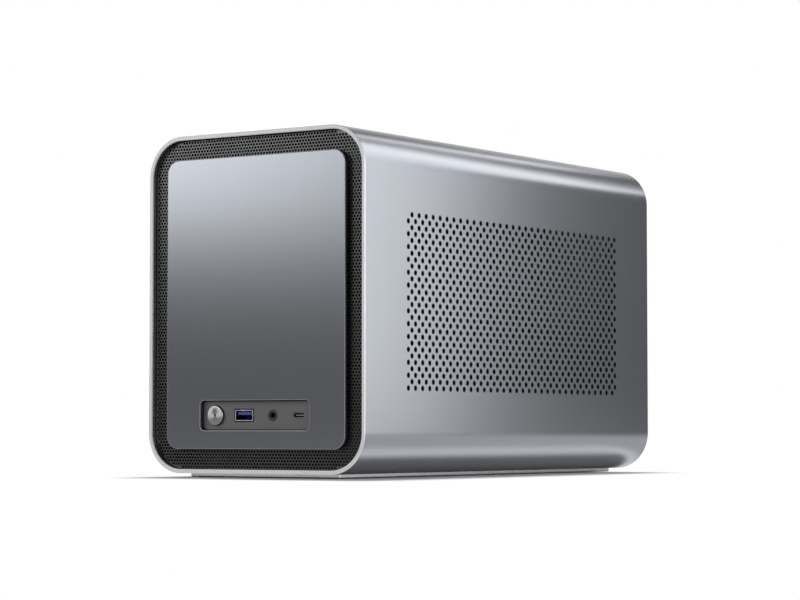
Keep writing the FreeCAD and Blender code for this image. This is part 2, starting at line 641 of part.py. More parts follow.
def fan_frame():
    half = FAN_SIZE / 2
    frame = rod("y", 0, FAN_Z, half - 0.2, FAN_FRONT, FAN_BACK)
    for y in (FAN_FRONT, FAN_BACK - FAN_FLANGE):
        frame = frame.fuse(slab("y", 0, FAN_Z, FAN_SIZE, FAN_SIZE, FAN_CORNER, y, y + FAN_FLANGE))
    frame = frame.cut(rod("y", 0, FAN_Z, FAN_BORE, FAN_FRONT - 1, FAN_BACK + 1))
    hub = rod("y", 0, FAN_Z, FAN_HUB_R - 0.5, FAN_BACK - 3.5, FAN_BACK - 0.2)
    hub = hub.fuse(rod("y", 0, FAN_Z, 13.0, FAN_BACK - 13.0, FAN_BACK - 3.0))
    for i in range(4):
        strut = block(15.0, half - 1.0, FAN_BACK - 3.5, FAN_BACK - 0.5, FAN_Z - 2.0, FAN_Z + 2.0)
        strut.rotate(V(0, 0, FAN_Z), V(0, 1, 0), 45 + 90 * i)
        hub = hub.fuse(strut)
    hub = hub.cut(rod("y", 0, FAN_Z, FAN_SHAFT_R + 0.05, FAN_BACK - 14.0, FAN_BACK - 2.0))
    frame = frame.fuse(hub).removeSplitter()
    holes = [screw_hole(FAN_SCREW, "y", x, z, FAN_FRONT - 1, FAN_BACK + 1) for x, z in fan_screw_spots()]
    return frame.cut(Part.makeCompound(holes))


def fan_rotor():
    hub = rod("y", 0, FAN_Z, FAN_HUB_R, FAN_FRONT + 1.5, FAN_BACK - 4.5)
    hub = hub.cut(rod("y", 0, FAN_Z, FAN_HUB_R - 1.7, FAN_FRONT + 3.2, FAN_BACK - 4.0))
    hub = hub.fuse(rod("y", 0, FAN_Z, FAN_SHAFT_R, FAN_FRONT + 2.0, FAN_BACK - 3.0))
    mid = (FAN_FRONT + FAN_BACK) / 2 - 1.5
    root, tip = FAN_HUB_R - 0.9, FAN_BORE - 1.4
    half_t = 0.8
    sections = []
    for r, chord, pitch in ((root, 16.0, 48.0), ((root + tip) / 2, 24.0, 36.0), (tip, 30.0, 27.0)):
        a = math.radians(pitch)
        dx, dy = chord / 2 * math.cos(a), chord / 2 * math.sin(a)
        tx, ty = half_t * math.sin(a), -half_t * math.cos(a)
        height = FAN_Z + math.sqrt(r * r - (dx + (3.6 if r == tip else 0.0)) ** 2)
        loop = [V(-dx - tx, mid - dy - ty, height), V(dx - tx, mid + dy - ty, height),
                V(dx + tx, mid + dy + ty, height), V(-dx + tx, mid - dy + ty, height)]
        sections.append(Part.makePolygon(loop + [loop[0]]))
    blade = Part.makeLoft(sections, True, True)
    blades = []
    for i in range(FAN_BLADES):
        copy = blade.copy()
        copy.rotate(V(0, 0, FAN_Z), V(0, 1, 0), 360.0 * i / FAN_BLADES)
        blades.append(copy)
    return hub.multiFuse(blades)


def fan_screws():
    return [pan_screw(FAN_SCREW, "y", x, z, PAN_BACK, 1, FAN_SCREW_L) for x, z in fan_screw_spots()]


def spacer_spots():
    return corners(PLATE_W / 2 - SPACER_IN_X, PLATE_H / 2 - SPACER_IN_Z, 0, MID_Z)


def front_mesh():
    w, h, r = 2 * (IN_X - MESH_GAP), IN_Z1 - IN_Z0 - 2 * MESH_GAP, IN_R - MESH_GAP
    back = MESH_Y + MESH_RETURN
    tray = slab("y", 0, MID_Z, w, h, r, MESH_Y, back)
    tray = tray.cut(slab("y", 0, MID_Z, w - 2 * MESH_T, h - 2 * MESH_T, r - MESH_T, MESH_BACK, back + 1))
    wall0, wall1 = MESH_Y - 1, MESH_BACK + 0.5
    cuts = []
    for x, z in mesh_spots(w / 2, h / 2, r):
        cuts.append(prism("y", hexagon(x, MID_Z + z, MESH_HOLE), wall0, wall1))
    cuts.append(slab("y", 0, PORT_Z, BEZEL_W + 1.0, BEZEL_H + 1.0, BEZEL_R + 0.5, wall0, wall1))
    cuts += [screw_hole(PLATE_SCREW, "y", x, z, wall0, wall1) for x, z in spacer_spots()]
    return tray.cut(Part.makeCompound(cuts))


def mesh_spots(half_w, half_h, r):
    """Hole places in staggered rows, where the plate leaves the mesh open to view."""
    step_x = 2 * (half_w - MESH_FROM_SIDE) / (MESH_COLUMNS - 1)
    step_z = 2 * (half_h - MESH_FROM_TOP) / (MESH_ROWS - 1)
    edge = MESH_HOLE / 2 + MESH_BORDER
    spots = []
    for j in range(MESH_ROWS):
        for i in range(MESH_COLUMNS - j % 2):
            x = MESH_FROM_SIDE - half_w + (i + j % 2 / 2) * step_x
            z = MESH_FROM_TOP - half_h + j * step_z
            over_x, over_z = abs(x) - half_w + r, abs(z) - half_h + r
            reach = math.hypot(over_x, over_z) if min(over_x, over_z) > 0 else max(over_x, over_z)
            shown = abs(x) > PLATE_W / 2 + 0.5 or abs(z) > PLATE_H / 2 + 0.5
            if shown and reach < r - edge:
                spots.append((x, z))
    return spots


def front_plate():
    plate = slab("y", 0, MID_Z, PLATE_W, PLATE_H, PLATE_R, FRONT_Y, PLATE_BACK)
    plate = plate.cut(slab("y", 0, PORT_Z, POCKET_W, POCKET_H, POCKET_R, FRONT_Y - 1, PLATE_BACK + 1))
    plate = plate.makeChamfer(PLATE_EDGE, front_edges(plate, FRONT_Y))
    holes = [screw_hole(PLATE_SCREW, "y", x, z, PLATE_BACK - 1.5, PLATE_BACK + 1) for x, z in spacer_spots()]
    return plate.cut(Part.makeCompound(holes))


def plate_spacers():
    parts = []
    for x, z in spacer_spots():
        post = rod("y", x, z, SPACER_R, PLATE_BACK, MESH_Y)
        parts.append(post.cut(screw_hole(PLATE_SCREW, "y", x, z, PLATE_BACK - 1, MESH_Y + 1)))
    return parts


def plate_screws():
    reach = MESH_BACK - PLATE_BACK + 1.3
    return [pan_screw(PLATE_SCREW, "y", x, z, MESH_BACK, 1, reach) for x, z in spacer_spots()]


def io_bezel():
    body = slab("y", 0, PORT_Z, BEZEL_W, BEZEL_H, BEZEL_R, PLATE_BACK, BEZEL_BACK)
    step = 0.3
    pocket = (POCKET_W + 2 * step, POCKET_H + 2 * step, POCKET_R + step)
    body = body.cut(slab("y", 0, PORT_Z, *pocket, PLATE_BACK - 1, PORT_Y))
    arm_z = PCB_TOP - PCB_T
    for x in (-ARM_X, ARM_X):
        arm = (x - ARM_W / 2, x + ARM_W / 2, BEZEL_BACK - 0.5, BEZEL_BACK + ARM_L, arm_z - ARM_T, arm_z)
        body = body.fuse(block(*arm))
    body = body.removeSplitter()
    wall0, wall1 = PORT_Y - 1, BEZEL_BACK + 1
    cuts = [
        rod("y", BUTTON_X, PORT_Z, BUTTON_D / 2 + 0.35, wall0, wall1),
        slab("y", USB_A_X, PORT_Z, USB_A_W + 1.6, USB_A_H + 1.5, 0.8, wall0, wall1),
        rod("y", AUDIO_X, PORT_Z, AUDIO_RING_D / 2 + 0.15, wall0, wall1),
        slab("y", USB_C_X, PORT_Z, USB_C_W + 0.4, USB_C_H + 0.4, USB_C_H / 2 + 0.19, wall0, wall1),
    ]
    cuts += [screw_hole(BOARD_SCREW, "z", x, y, arm_z - ARM_T - 1, PCB_TOP) for x, y in board_screw_spots()]
    return body.cut(Part.makeCompound(cuts))


def board_screw_spots():
    y = BEZEL_BACK + ARM_L - 5.0
    return [(-ARM_X, y), (ARM_X, y)]


def io_board():
    half = POCKET_W / 2 + PCB_SIDE
    front = BEZEL_BACK + 1.7 + BUTTON_TRAVEL
    board = block(-half, half, front, BEZEL_BACK + PCB_L, PCB_TOP - PCB_T, PCB_TOP)
    for x, y in board_screw_spots():
        board = board.cut(screw_hole(BOARD_SCREW, "z", x, y, PCB_TOP - PCB_T - 1, PCB_TOP + 1))
    return board


def board_screws():
    reach = PCB_T + ARM_T - 0.8
    return [pan_screw(BOARD_SCREW, "z", x, y, PCB_TOP, 1, reach) for x, y in board_screw_spots()]


def usb_a_shell():
    y0, y1 = PORT_Y - 0.4, PORT_Y + USB_A_L
    tube = slab("y", USB_A_X, PORT_Z, USB_A_W, USB_A_H, 0.7, y0, y1)
    return tube.cut(slab("y", USB_A_X, PORT_Z, USB_A_W - 0.8, USB_A_H - 0.8, 0.4, y0 - 1, y1 + 1))


def usb_a_tongue():
    y0, y1 = PORT_Y + 0.6, PORT_Y + USB_A_L
    root = slab("y", USB_A_X, PORT_Z, USB_A_W - 0.9, USB_A_H - 0.9, 0.4, y0 + 9.5, y1)
    tongue = block(USB_A_X - 5.6, USB_A_X + 5.6, y0, y0 + 10.0, PORT_Z + 0.4, PORT_Z + 2.2)
    return root.fuse(tongue).removeSplitter()


def audio_jack():
    y0, y1 = PORT_Y - 0.1, PORT_Y + AUDIO_L
    half = AUDIO_BODY_W / 2
    body = rod("y", AUDIO_X, PORT_Z, AUDIO_RING_D / 2, y0, y0 + 4.0)
    body = body.fuse(block(AUDIO_X - half, AUDIO_X + half, BEZEL_BACK + 0.2, y1, PCB_TOP, PORT_Z + 3.4))
    body = body.removeSplitter()
    return body.cut(rod("y", AUDIO_X, PORT_Z, AUDIO_BORE_D / 2, y0 - 1, y1 - 1.0))


def usb_c_shell():
    y0, y1 = PORT_Y - 0.1, PORT_Y + USB_C_L
    tube = slab("y", USB_C_X, PORT_Z, USB_C_W, USB_C_H, USB_C_H / 2 - 0.01, y0, y1)
    inner = slab("y", USB_C_X, PORT_Z, USB_C_W - 0.6, USB_C_H - 0.6, USB_C_H / 2 - 0.31, y0 - 1, y1 + 1)
    return tube.cut(inner)


def usb_c_tongue():
    y0, y1 = PORT_Y + 1.0, PORT_Y + USB_C_L + 1.5
    root = slab("y", USB_C_X, PORT_Z, USB_C_W - 0.7, USB_C_H - 0.7, USB_C_H / 2 - 0.36, y0 + 5.5, y1)
    tongue = block(USB_C_X - 3.3, USB_C_X + 3.3, y0, y0 + 6.0, PORT_Z - 0.35, PORT_Z + 0.35)
    low = block(USB_C_X - 4.2, USB_C_X + 4.2, PORT_Y + USB_C_L + 0.1, y1, PCB_TOP, PORT_Z + 1.2)
    return root.fuse(tongue).fuse(low).removeSplitter()


def tact_switch():
    y0 = BUTTON_FACE + BUTTON_L + SWITCH_GAP
    half = SWITCH_W / 2
    body = block(BUTTON_X - half, BUTTON_X + half, y0, y0 + SWITCH_L, PCB_TOP, PORT_Z + half)
    return body.cut(rod("y", BUTTON_X, PORT_Z, PLUNGER_R + 0.35, y0 - 1, y0 + SWITCH_BORE))


def power_button():
    y0, back = BUTTON_FACE, BEZEL_BACK + 0.3
    r, end = BUTTON_D / 2, BUTTON_FACE + BUTTON_L
    profile = [
        (0, y0 + 0.15), (1.2, y0), (r - 0.5, y0), (r, y0 + 0.5), (r, back), (r + BUTTON_LIP, back),
        (r + BUTTON_LIP, back + 1.0), (BUTTON_STEM_R, back + 1.0), (BUTTON_STEM_R, end), (0, end),
    ]
    return turned(profile, BUTTON_X, PORT_Z)


def switch_plunger():
    y0 = BUTTON_FACE + BUTTON_L
    reach = SWITCH_GAP + SWITCH_BORE - BUTTON_TRAVEL - 0.3
    return rod("y", BUTTON_X, PORT_Z, PLUNGER_R, y0, y0 + reach)


FOLD_IN = fold_side("y", [(-10, 10), (-10, 0), (10, 0), (10, 10)], V(0, 0.5, SHEET / 2))
FOLD_IN_Z = fold_side("z", [(-10, 10), (-10, 0), (10, 0), (10, 10)], V(0, SHEET / 2, 0.5))
COVER_OUT = fold_side("z", [(0, 10), (0, 0), (10, 0)], V(-SHEET / 2, 5, 0.5))

NODES = {
    "sleeve": sleeve,
    "base_plate": base_plate,
    "base_screws": base_screws,
    "runner_left": lambda: runner(-1),
    "runner_right": lambda: runner(1),
    "rear_ring": rear_ring,
    "thumbscrews": thumbscrews,
    "chassis_tub": chassis_tub,
    "front_pan": front_pan,
    "rear_panel": rear_panel,
    "rivets": rivets,
    "top_rail": top_rail,
    "psu_bracket": psu_bracket,
    "bracket_screws": bracket_screws,
    "motherboard_standoffs": motherboard_standoffs,
    "slot_cover_upper": lambda: slot_cover(SLOT_CENTRES[0]),
    "slot_cover_lower": lambda: slot_cover(SLOT_CENTRES[1]),
    "slot_screws": slot_screws,
    "power_inlet": power_inlet,
    "inlet_pins": inlet_pins,
    "inlet_screws": inlet_screws,
    "fan_frame": fan_frame,
    "fan_rotor": fan_rotor,
    "fan_screws": fan_screws,
    "front_mesh": front_mesh,
    "front_plate": front_plate,
    "plate_spacers": plate_spacers,
    "plate_screws": plate_screws,
    "io_bezel": io_bezel,
    "io_board": io_board,
    "board_screws": board_screws,
    "usb_a_shell": usb_a_shell,
    "usb_a_tongue": usb_a_tongue,
    "audio_jack": audio_jack,
    "usb_c_shell": usb_c_shell,
    "usb_c_tongue": usb_c_tongue,
    "tact_switch": tact_switch,
    "power_button": power_button,
    "switch_plunger": switch_plunger,
}

os.makedirs("parts", exist_ok=True)
for name, make in NODES.items():
    made = make()
    shape = Part.makeCompound(made) if isinstance(made, list) else made
    if shape.ShapeType == "Compound" and len(shape.Solids) == 1:
        shape = shape.Solids[0]
    shape.exportStep("parts/%s.step" % name)
    print(name, len(shape.Solids), round(shape.Volume / 1000, 2), shape.isValid())
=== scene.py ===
import math

import bmesh
import bpy
from mathutils import Matrix, Vector


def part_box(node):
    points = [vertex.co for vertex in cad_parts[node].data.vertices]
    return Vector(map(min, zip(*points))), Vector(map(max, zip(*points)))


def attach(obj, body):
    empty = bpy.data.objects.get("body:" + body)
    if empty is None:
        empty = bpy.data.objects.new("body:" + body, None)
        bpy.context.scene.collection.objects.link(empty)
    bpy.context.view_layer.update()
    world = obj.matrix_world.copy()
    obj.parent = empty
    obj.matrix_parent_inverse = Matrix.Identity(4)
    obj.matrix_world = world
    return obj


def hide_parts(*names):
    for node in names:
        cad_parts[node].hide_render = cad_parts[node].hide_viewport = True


bl_info = {
    "name": "Drawer Computer Case",
    "version": (1, 0, 0),
    "blender": (4, 5, 0),
    "location": "View3D > Sidebar > Case",
    "description": "Dresses the frame of a compact computer case with its metal skin, front and finishes",
    "category": "Object",
}

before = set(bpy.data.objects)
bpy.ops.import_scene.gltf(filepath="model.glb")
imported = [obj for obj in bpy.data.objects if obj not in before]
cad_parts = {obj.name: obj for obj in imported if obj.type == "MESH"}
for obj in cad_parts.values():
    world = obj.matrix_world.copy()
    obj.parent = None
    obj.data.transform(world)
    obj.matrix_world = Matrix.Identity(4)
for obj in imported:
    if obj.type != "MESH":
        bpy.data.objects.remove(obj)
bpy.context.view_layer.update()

MM = 0.001
ALONG_Y = Vector((0.0, 1.0, 0.0))

# Bodies that carry the pieces
SHELL = "case_shell"
CHASSIS = "chassis"
BUTTON = "power_button"

# Places taken from the frame
SLEEVE_LO, SLEEVE_HI = map(Vector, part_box("sleeve"))
MESH_LO, MESH_HI = map(Vector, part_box("front_mesh"))
PLATE_LO, PLATE_HI = map(Vector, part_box("front_plate"))
BEZEL_LO, BEZEL_HI = map(Vector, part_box("io_bezel"))
BUTTON_LO, BUTTON_HI = map(Vector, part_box("power_button"))
TONGUE_A_LO, TONGUE_A_HI = map(Vector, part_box("usb_a_tongue"))
TONGUE_C_LO, TONGUE_C_HI = map(Vector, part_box("usb_c_tongue"))
JACK_LO, JACK_HI = map(Vector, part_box("audio_jack"))
SHELL_A_LO, SHELL_A_HI = map(Vector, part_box("usb_a_shell"))
SHELL_C_LO, SHELL_C_HI = map(Vector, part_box("usb_c_shell"))
THUMB_LO, THUMB_HI = map(Vector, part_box("thumbscrews"))
SLEEVE_MID_Z = (SLEEVE_LO.z + SLEEVE_HI.z) / 2
PORT_Z = (BUTTON_LO.z + BUTTON_HI.z) / 2
BUTTON_X = (BUTTON_LO.x + BUTTON_HI.x) / 2
JACK_X = (JACK_LO.x + JACK_HI.x) / 2

# Angles in degrees past which an edge is shaded sharp
CRISP = 15.0
TURNED = 25.0
SOFT = 32.0
NOTCHED = 40.0

# Least angle in radians between the faces of a rim, and how far a point may lie off a plane or outline
RIM_ANGLE = 0.5
ON_PLANE = 1e-6
ON_OUTLINE = 1e-5
ON_CUT = 1e-7

# Sleeve: segments of a corner, sides of a hole and small cuts
SLEEVE_ARC = 28
HOLE_SIDES = 14
INNER_CUT = 0.2 * MM
FLAT_MARGIN = 0.6 * MM
DRILL_SPARE = 6.0 * MM

# Finishes of the sleeve's rim by index, and the normal's Y below which a face takes each
FACED_RIM = 1
BRIGHT_RIM = 2
FACES_FRONT = -0.9
LEANS_FRONT = -0.1

# Front: mesh sheet, the opening for the ports, and the plate with its edge's finish by index
MESH_ARC = 20
MESH_HOLE_SIDES = 8
MESH_SPARE = 0.2 * MM
MESH_FOLD = 0.25 * MM
MESH_MARGIN = 1.05 * MM
PLATE_COVER = 3.0 * MM
DRILL_REACH = 4.0 * MM
OPENING_GAP = 0.5 * MM
OPENING_CORNER = 4.5 * MM
OPENING_DEPTH = 5.0 * MM
PLATE_ARC = 12
PLATE_EDGE = 1

# Port recess: grey facing on its floor, button, audio socket and contact pads
FLOOR_Y = JACK_LO.y + 0.1 * MM
PANEL_Y = FLOOR_Y - 0.3 * MM
PANEL_GAP = 0.55 * MM
PANEL_EDGE = 0.12 * MM
ROUND_GAP = 0.35 * MM
CAP_RADIUS = 6.0 * MM
JACK_RADIUS = 3.15 * MM
PAD_LIFT = 0.36 * MM
PAD_SETBACK = 1.6 * MM
PAD_THICKNESS = 0.1 * MM

# Textures: where most of a noise lies, height of the finest relief, and depth of a socket's lip, behind
# which its colour darkens into painted shade
NOISE_LOW = 0.3
NOISE_HIGH = 0.7
FINE_RELIEF = 0.02 * MM
SOCKET_SHADE_FADE = 0.3 * MM

# Floor: half size, drop below the foot, and where it shows white: the zone kept grey round the case as a
# partly painted shadow, leaned towards the camera, and a band beside the case that glows in reflections
# as a painted highlight
FLOOR_HALF = 30.0
FLOOR_DROP = 0.2 * MM
FLOOR_TUCK = 12.0 * MM
SHADOW_LEAN = 40.0 * MM
SHADOW_FADE = 45.0 * MM
WEDGE_FULL, WEDGE_END = 0.165, 0.24
MIRROR_START, MIRROR_FULL, MIRROR_END = 6.0 * MM, 18.0 * MM, 40.0 * MM
MIRROR_FAR = 0.52

# Surround: how squarely a direction meets the view where white starts and is full, and the grey levels
ENDS_START, ENDS_FULL = 0.76, 0.98
SIDES_TURN = 0.2
GREY_BEHIND, GREY_AHEAD = 0.25, 0.14

# Soft boxes, in metres and watts
SOFT_BOXES = {
    "side box": {
        "place": (0.555, 0.335, 0.313), "target": (0.085, -0.02, 0.12),
        "width": 0.385, "height": 0.64, "power": 1.15},
    "shoulder box": {
        "place": (0.374, 0.709, 0.694), "target": (0.07, -0.04, 0.2),
        "width": 0.22, "height": 0.5, "power": 0.75},
    "top box": {
        "place": (0.01, 0.605, 0.713), "target": (0.07, -0.08, 0.2),
        "width": 0.12, "height": 0.35, "power": 0.22},
    "front box": {
        "place": (-0.802, -0.933, 0.598), "target": (0.0, -0.175, 0.13),
        "width": 0.70, "height": 0.75, "power": 6.6},
    "edge box": {
        "place": (1.08, -0.85, 0.25), "target": (0.08, -0.17, 0.12),
        "width": 0.35, "height": 0.8, "power": 3.2},
}


class CaseSleeveSettings(bpy.types.PropertyGroup):
    """Sizes and colour of the sleeve"""
    wall: bpy.props.FloatProperty(
        name="Wall", description="Thickness of the sleeve's wall",
        default=2.5 * MM, unit="LENGTH")
    corner_radius: bpy.props.FloatProperty(
        name="Corner radius", description="Outer radius of the four long edges",
        default=25.5 * MM, unit="LENGTH")
    rim_bevel: bpy.props.FloatProperty(
        name="Rim bevel", description="Bright cut along the outer front rim",
        default=0.5 * MM, unit="LENGTH")
    faced_depth: bpy.props.FloatProperty(
        name="Faced depth", description="Machined border inside the front rim",
        default=1.2 * MM, unit="LENGTH")
    half_pitch: bpy.props.FloatProperty(
        name="Half pitch", description="Step between staggered rows of holes",
        default=3.968 * MM, unit="LENGTH")
    hole: bpy.props.FloatProperty(
        name="Hole", description="Diameter of a drilled hole",
        default=3.5 * MM, unit="LENGTH")
    field_setback: bpy.props.FloatProperty(
        name="Field setback", description="Field's middle behind the sleeve's middle",
        default=-0.4 * MM, unit="LENGTH")
    columns: bpy.props.IntProperty(
        name="Columns", description="Staggered columns of holes", default=66)
    rows: bpy.props.IntProperty(
        name="Rows", description="Staggered rows of holes", default=28)
    colour: bpy.props.FloatVectorProperty(
        name="Colour", description="Anodised metal",
        default=(0.420, 0.438, 0.475), subtype="COLOR", size=3)


class CaseFrontSettings(bpy.types.PropertyGroup):
    """Sizes and colours of the mesh, the plate and the port window"""
    mesh_pitch: bpy.props.FloatProperty(
        name="Mesh pitch", description="Distance between holes in a row",
        default=2.231 * MM, unit="LENGTH")
    mesh_hole: bpy.props.FloatProperty(
        name="Mesh hole", description="Diameter of a mesh hole",
        default=1.84 * MM, unit="LENGTH")
    mesh_thickness: bpy.props.FloatProperty(
        name="Mesh sheet", description="Thickness of the mesh sheet",
        default=0.6 * MM, unit="LENGTH")
    mesh_radius: bpy.props.FloatProperty(
        name="Mesh corner", description="Corner radius of the mesh",
        default=22.5 * MM, unit="LENGTH")
    plate_radius: bpy.props.FloatProperty(
        name="Plate corner", description="Corner radius of the front plate",
        default=8.5 * MM, unit="LENGTH")
    plate_edge: bpy.props.FloatProperty(
        name="Plate edge", description="Cut along the plate's edges",
        default=0.4 * MM, unit="LENGTH")
    window_width: bpy.props.FloatProperty(
        name="Window width", description="Width of the port window",
        default=84.6 * MM, unit="LENGTH")
    window_height: bpy.props.FloatProperty(
        name="Window height", description="Height of the port window",
        default=18.7 * MM, unit="LENGTH")
    window_radius: bpy.props.FloatProperty(
        name="Window corner", description="Corner radius of the port window",
        default=3.0 * MM, unit="LENGTH")
    plate_colour: bpy.props.FloatVectorProperty(
        name="Plate colour", description="Brushed metal",
        default=(0.240, 0.251, 0.273), subtype="COLOR", size=3)
    mesh_colour: bpy.props.FloatVectorProperty(
        name="Mesh colour", description="Mesh paint",
        default=(0.085, 0.086, 0.088), subtype="COLOR", size=3)


class CaseStageSettings(bpy.types.PropertyGroup):
    """Floor colour and the camera's place and view"""
    floor_colour: bpy.props.FloatVectorProperty(
        name="Floor colour", description="Pale floor",
        default=(0.55, 0.55, 0.55), subtype="COLOR", size=3)
    azimuth: bpy.props.FloatProperty(
        name="Azimuth", description="Turn of the camera",
        default=math.radians(34.19), subtype="ANGLE")
    pitch: bpy.props.FloatProperty(
        name="Pitch", description="Upward tilt of the camera",
        default=math.radians(2.90), subtype="ANGLE")
    lens: bpy.props.FloatProperty(
        name="Lens", description="Focal length on a 36 mm sensor", default=115.4)
    camera: bpy.props.FloatVectorProperty(
        name="Camera", description="Place of the camera",
        default=(0.9668, -1.4381, 0.0295), subtype="TRANSLATION", size=3)


# Node helpers for the finishes and the stage

def new_finish(name, colour, metallic, roughness):
    """Material with a Principled shader and its plain values."""
    material = bpy.data.materials.new(name)
    material.use_nodes = True
    shader = material.node_tree.nodes["Principled BSDF"]
    shader.inputs["Base Color"].default_value = (*colour, 1.0)
    shader.inputs["Metallic"].default_value = metallic
    shader.inputs["Roughness"].default_value = roughness
    material.diffuse_color = (*colour, 1.0)
    return material, material.node_tree, shader


def object_space(tree, scale=(1.0, 1.0, 1.0), offset=(0.0, 0.0, 0.0)):
    """Object coordinates, moved by offset and scaled per axis."""
    place = tree.nodes.new("ShaderNodeTexCoord")
    mapping = tree.nodes.new("ShaderNodeMapping")
    mapping.inputs["Scale"].default_value = scale
    mapping.inputs["Location"].default_value = offset
    tree.links.new(place.outputs["Object"], mapping.inputs["Vector"])
    return mapping.outputs["Vector"]


def noise(tree, vector, scale, detail=3.0):
    """Even noise over a vector."""
    texture = tree.nodes.new("ShaderNodeTexNoise")
    texture.inputs["Scale"].default_value = scale
    texture.inputs["Detail"].default_value = detail
    tree.links.new(vector, texture.inputs["Vector"])
    return texture.outputs["Fac"]


def map_range(tree, value, start, end, low, high, easing="LINEAR"):
    """Runs from low to high while the value runs from start to end."""
    span = tree.nodes.new("ShaderNodeMapRange")
    span.interpolation_type = easing
    for name, number in (("From Min", start), ("From Max", end), ("To Min", low), ("To Max", high)):
        span.inputs[name].default_value = number
    tree.links.new(value, span.inputs["Value"])
    return span.outputs["Result"]


def smooth_step(tree, value, start, end, low, high):
    """Eased step of a value from low at start to high at end."""
    return map_range(tree, value, start, end, low, high, "SMOOTHSTEP")


def math_node(tree, operation, *values):
    """Result of one operation on sockets and plain numbers."""
    node = tree.nodes.new("ShaderNodeMath")
    node.operation = operation
    for socket, value in zip(node.inputs, values):
        if isinstance(value, float):
            socket.default_value = value
        else:
            tree.links.new(value, socket)
    return node.outputs["Value"]


def vary_colour(tree, shader, factor, colour, spread):
    """Base colour that drifts a little either side of colour."""
    ramp = tree.nodes.new("ShaderNodeValToRGB")
    low, high = ramp.color_ramp.elements
    low.position = NOISE_LOW
    high.position = NOISE_HIGH
    low.color = (*[channel * (1 - spread) for channel in colour], 1.0)
    high.color = (*[min(1.0, channel * (1 + spread)) for channel in colour], 1.0)
    tree.links.new(factor, ramp.inputs["Fac"])
    tree.links.new(ramp.outputs["Color"], shader.inputs["Base Color"])


def vary_roughness(tree, shader, factor, low, high):
    """Roughness that drifts between low and high."""
    drift = map_range(tree, factor, NOISE_LOW, NOISE_HIGH, low, high)
    tree.links.new(drift, shader.inputs["Roughness"])


def relief(tree, shader, factor, strength, height):
    """Surface texture that is shaded only."""
    bump = tree.nodes.new("ShaderNodeBump")
    bump.inputs["Strength"].default_value = strength
    bump.inputs["Distance"].default_value = height
    tree.links.new(factor, bump.inputs["Height"])
    tree.links.new(bump.outputs["Normal"], shader.inputs["Normal"])


def grain_direction(tree, shader, **settings):
    """Direction of an anisotropic finish, by the settings of a Tangent node."""
    tangent = tree.nodes.new("ShaderNodeTangent")
    for name, value in settings.items():
        setattr(tangent, name, value)
    tree.links.new(tangent.outputs["Tangent"], shader.inputs["Tangent"])


# Finishes of the case

def blasted_aluminium(colour):
    """Bead-blasted and anodised: a fine even grain."""
    material, tree, shader = new_finish("blasted aluminium", colour, metallic=1.0, roughness=0.265)
    space = object_space(tree)
    vary_colour(tree, shader, noise(tree, space, scale=38.0, detail=4.0), colour, spread=0.008)
    grain = noise(tree, space, scale=2600.0, detail=2.0)
    vary_roughness(tree, shader, grain, low=0.257, high=0.273)
    relief(tree, shader, grain, strength=0.04, height=FINE_RELIEF)
    return material


def brushed_aluminium(colour):
    """Fine upright brush lines."""
    material, tree, shader = new_finish("brushed aluminium", colour, metallic=1.0, roughness=0.283)
    shader.inputs["Anisotropic"].default_value = 0.69
    lines = noise(tree, object_space(tree, scale=(1.0, 1.0, 0.012)), scale=2400.0, detail=2.0)
    vary_colour(tree, shader, lines, colour, spread=0.006)
    vary_roughness(tree, shader, lines, low=0.278, high=0.288)
    relief(tree, shader, lines, strength=0.008, height=FINE_RELIEF)
    grain_direction(tree, shader, direction_type="UV_MAP", uv_map="brush")
    return material


def bright_cut():
    """Bare metal of a chamfer."""
    material, tree, shader = new_finish("bright cut", (0.90, 0.90, 0.905), metallic=0.6, roughness=0.35)
    lines = noise(tree, object_space(tree), scale=900.0, detail=2.0)
    vary_roughness(tree, shader, lines, low=0.32, high=0.38)
    return material


def matt_cut(name, colour):
    """Bare metal with a fine tooth, pale and soft."""
    material, tree, shader = new_finish(name, colour, metallic=0.05, roughness=0.6)
    tooth = noise(tree, object_space(tree), scale=900.0, detail=2.0)
    vary_roughness(tree, shader, tooth, low=0.55, high=0.65)
    return material


def spun_aluminium(colour):
    """Rings left by a facing cut."""
    material, tree, shader = new_finish("spun aluminium", colour, metallic=1.0, roughness=0.30)
    shader.inputs["Anisotropic"].default_value = 0.8
    rings = tree.nodes.new("ShaderNodeTexWave")
    rings.wave_type = "RINGS"
    rings.rings_direction = "Y"
    rings.inputs["Scale"].default_value = 1500.0
    rings.inputs["Distortion"].default_value = 0.4
    tree.links.new(object_space(tree, offset=(-BUTTON_X, 0.0, -PORT_Z)), rings.inputs["Vector"])
    vary_roughness(tree, shader, rings.outputs["Fac"], low=0.28, high=0.32)
    relief(tree, shader, rings.outputs["Fac"], strength=0.02, height=FINE_RELIEF)
    grain_direction(tree, shader, direction_type="RADIAL", axis="Y")
    return material


def powder_coat(name, colour, metallic=0.0, roughness=0.5):
    """Sprayed and baked paint with a light orange peel."""
    material, tree, shader = new_finish(name, colour, metallic, roughness)
    space = object_space(tree)
    peel = noise(tree, space, scale=1400.0, detail=2.0)
    vary_colour(tree, shader, noise(tree, space, scale=60.0), colour, spread=0.06)
    vary_roughness(tree, shader, peel, low=roughness - 0.05, high=roughness + 0.06)
    relief(tree, shader, peel, strength=0.15, height=0.05 * MM)
    return material


def plated_steel(name, colour, roughness):
    """Zinc or nickel over drawn steel, with a faint cloud and drawing lines."""
    material, tree, shader = new_finish(name, colour, metallic=1.0, roughness=roughness)
    cloud = noise(tree, object_space(tree), scale=180.0, detail=4.0)
    lines = noise(tree, object_space(tree, scale=(0.05, 1.0, 1.0)), scale=1800.0, detail=2.0)
    vary_colour(tree, shader, cloud, colour, spread=0.06)
    vary_roughness(tree, shader, cloud, low=roughness - 0.06, high=roughness + 0.08)
    relief(tree, shader, lines, strength=0.06, height=FINE_RELIEF)
    return material


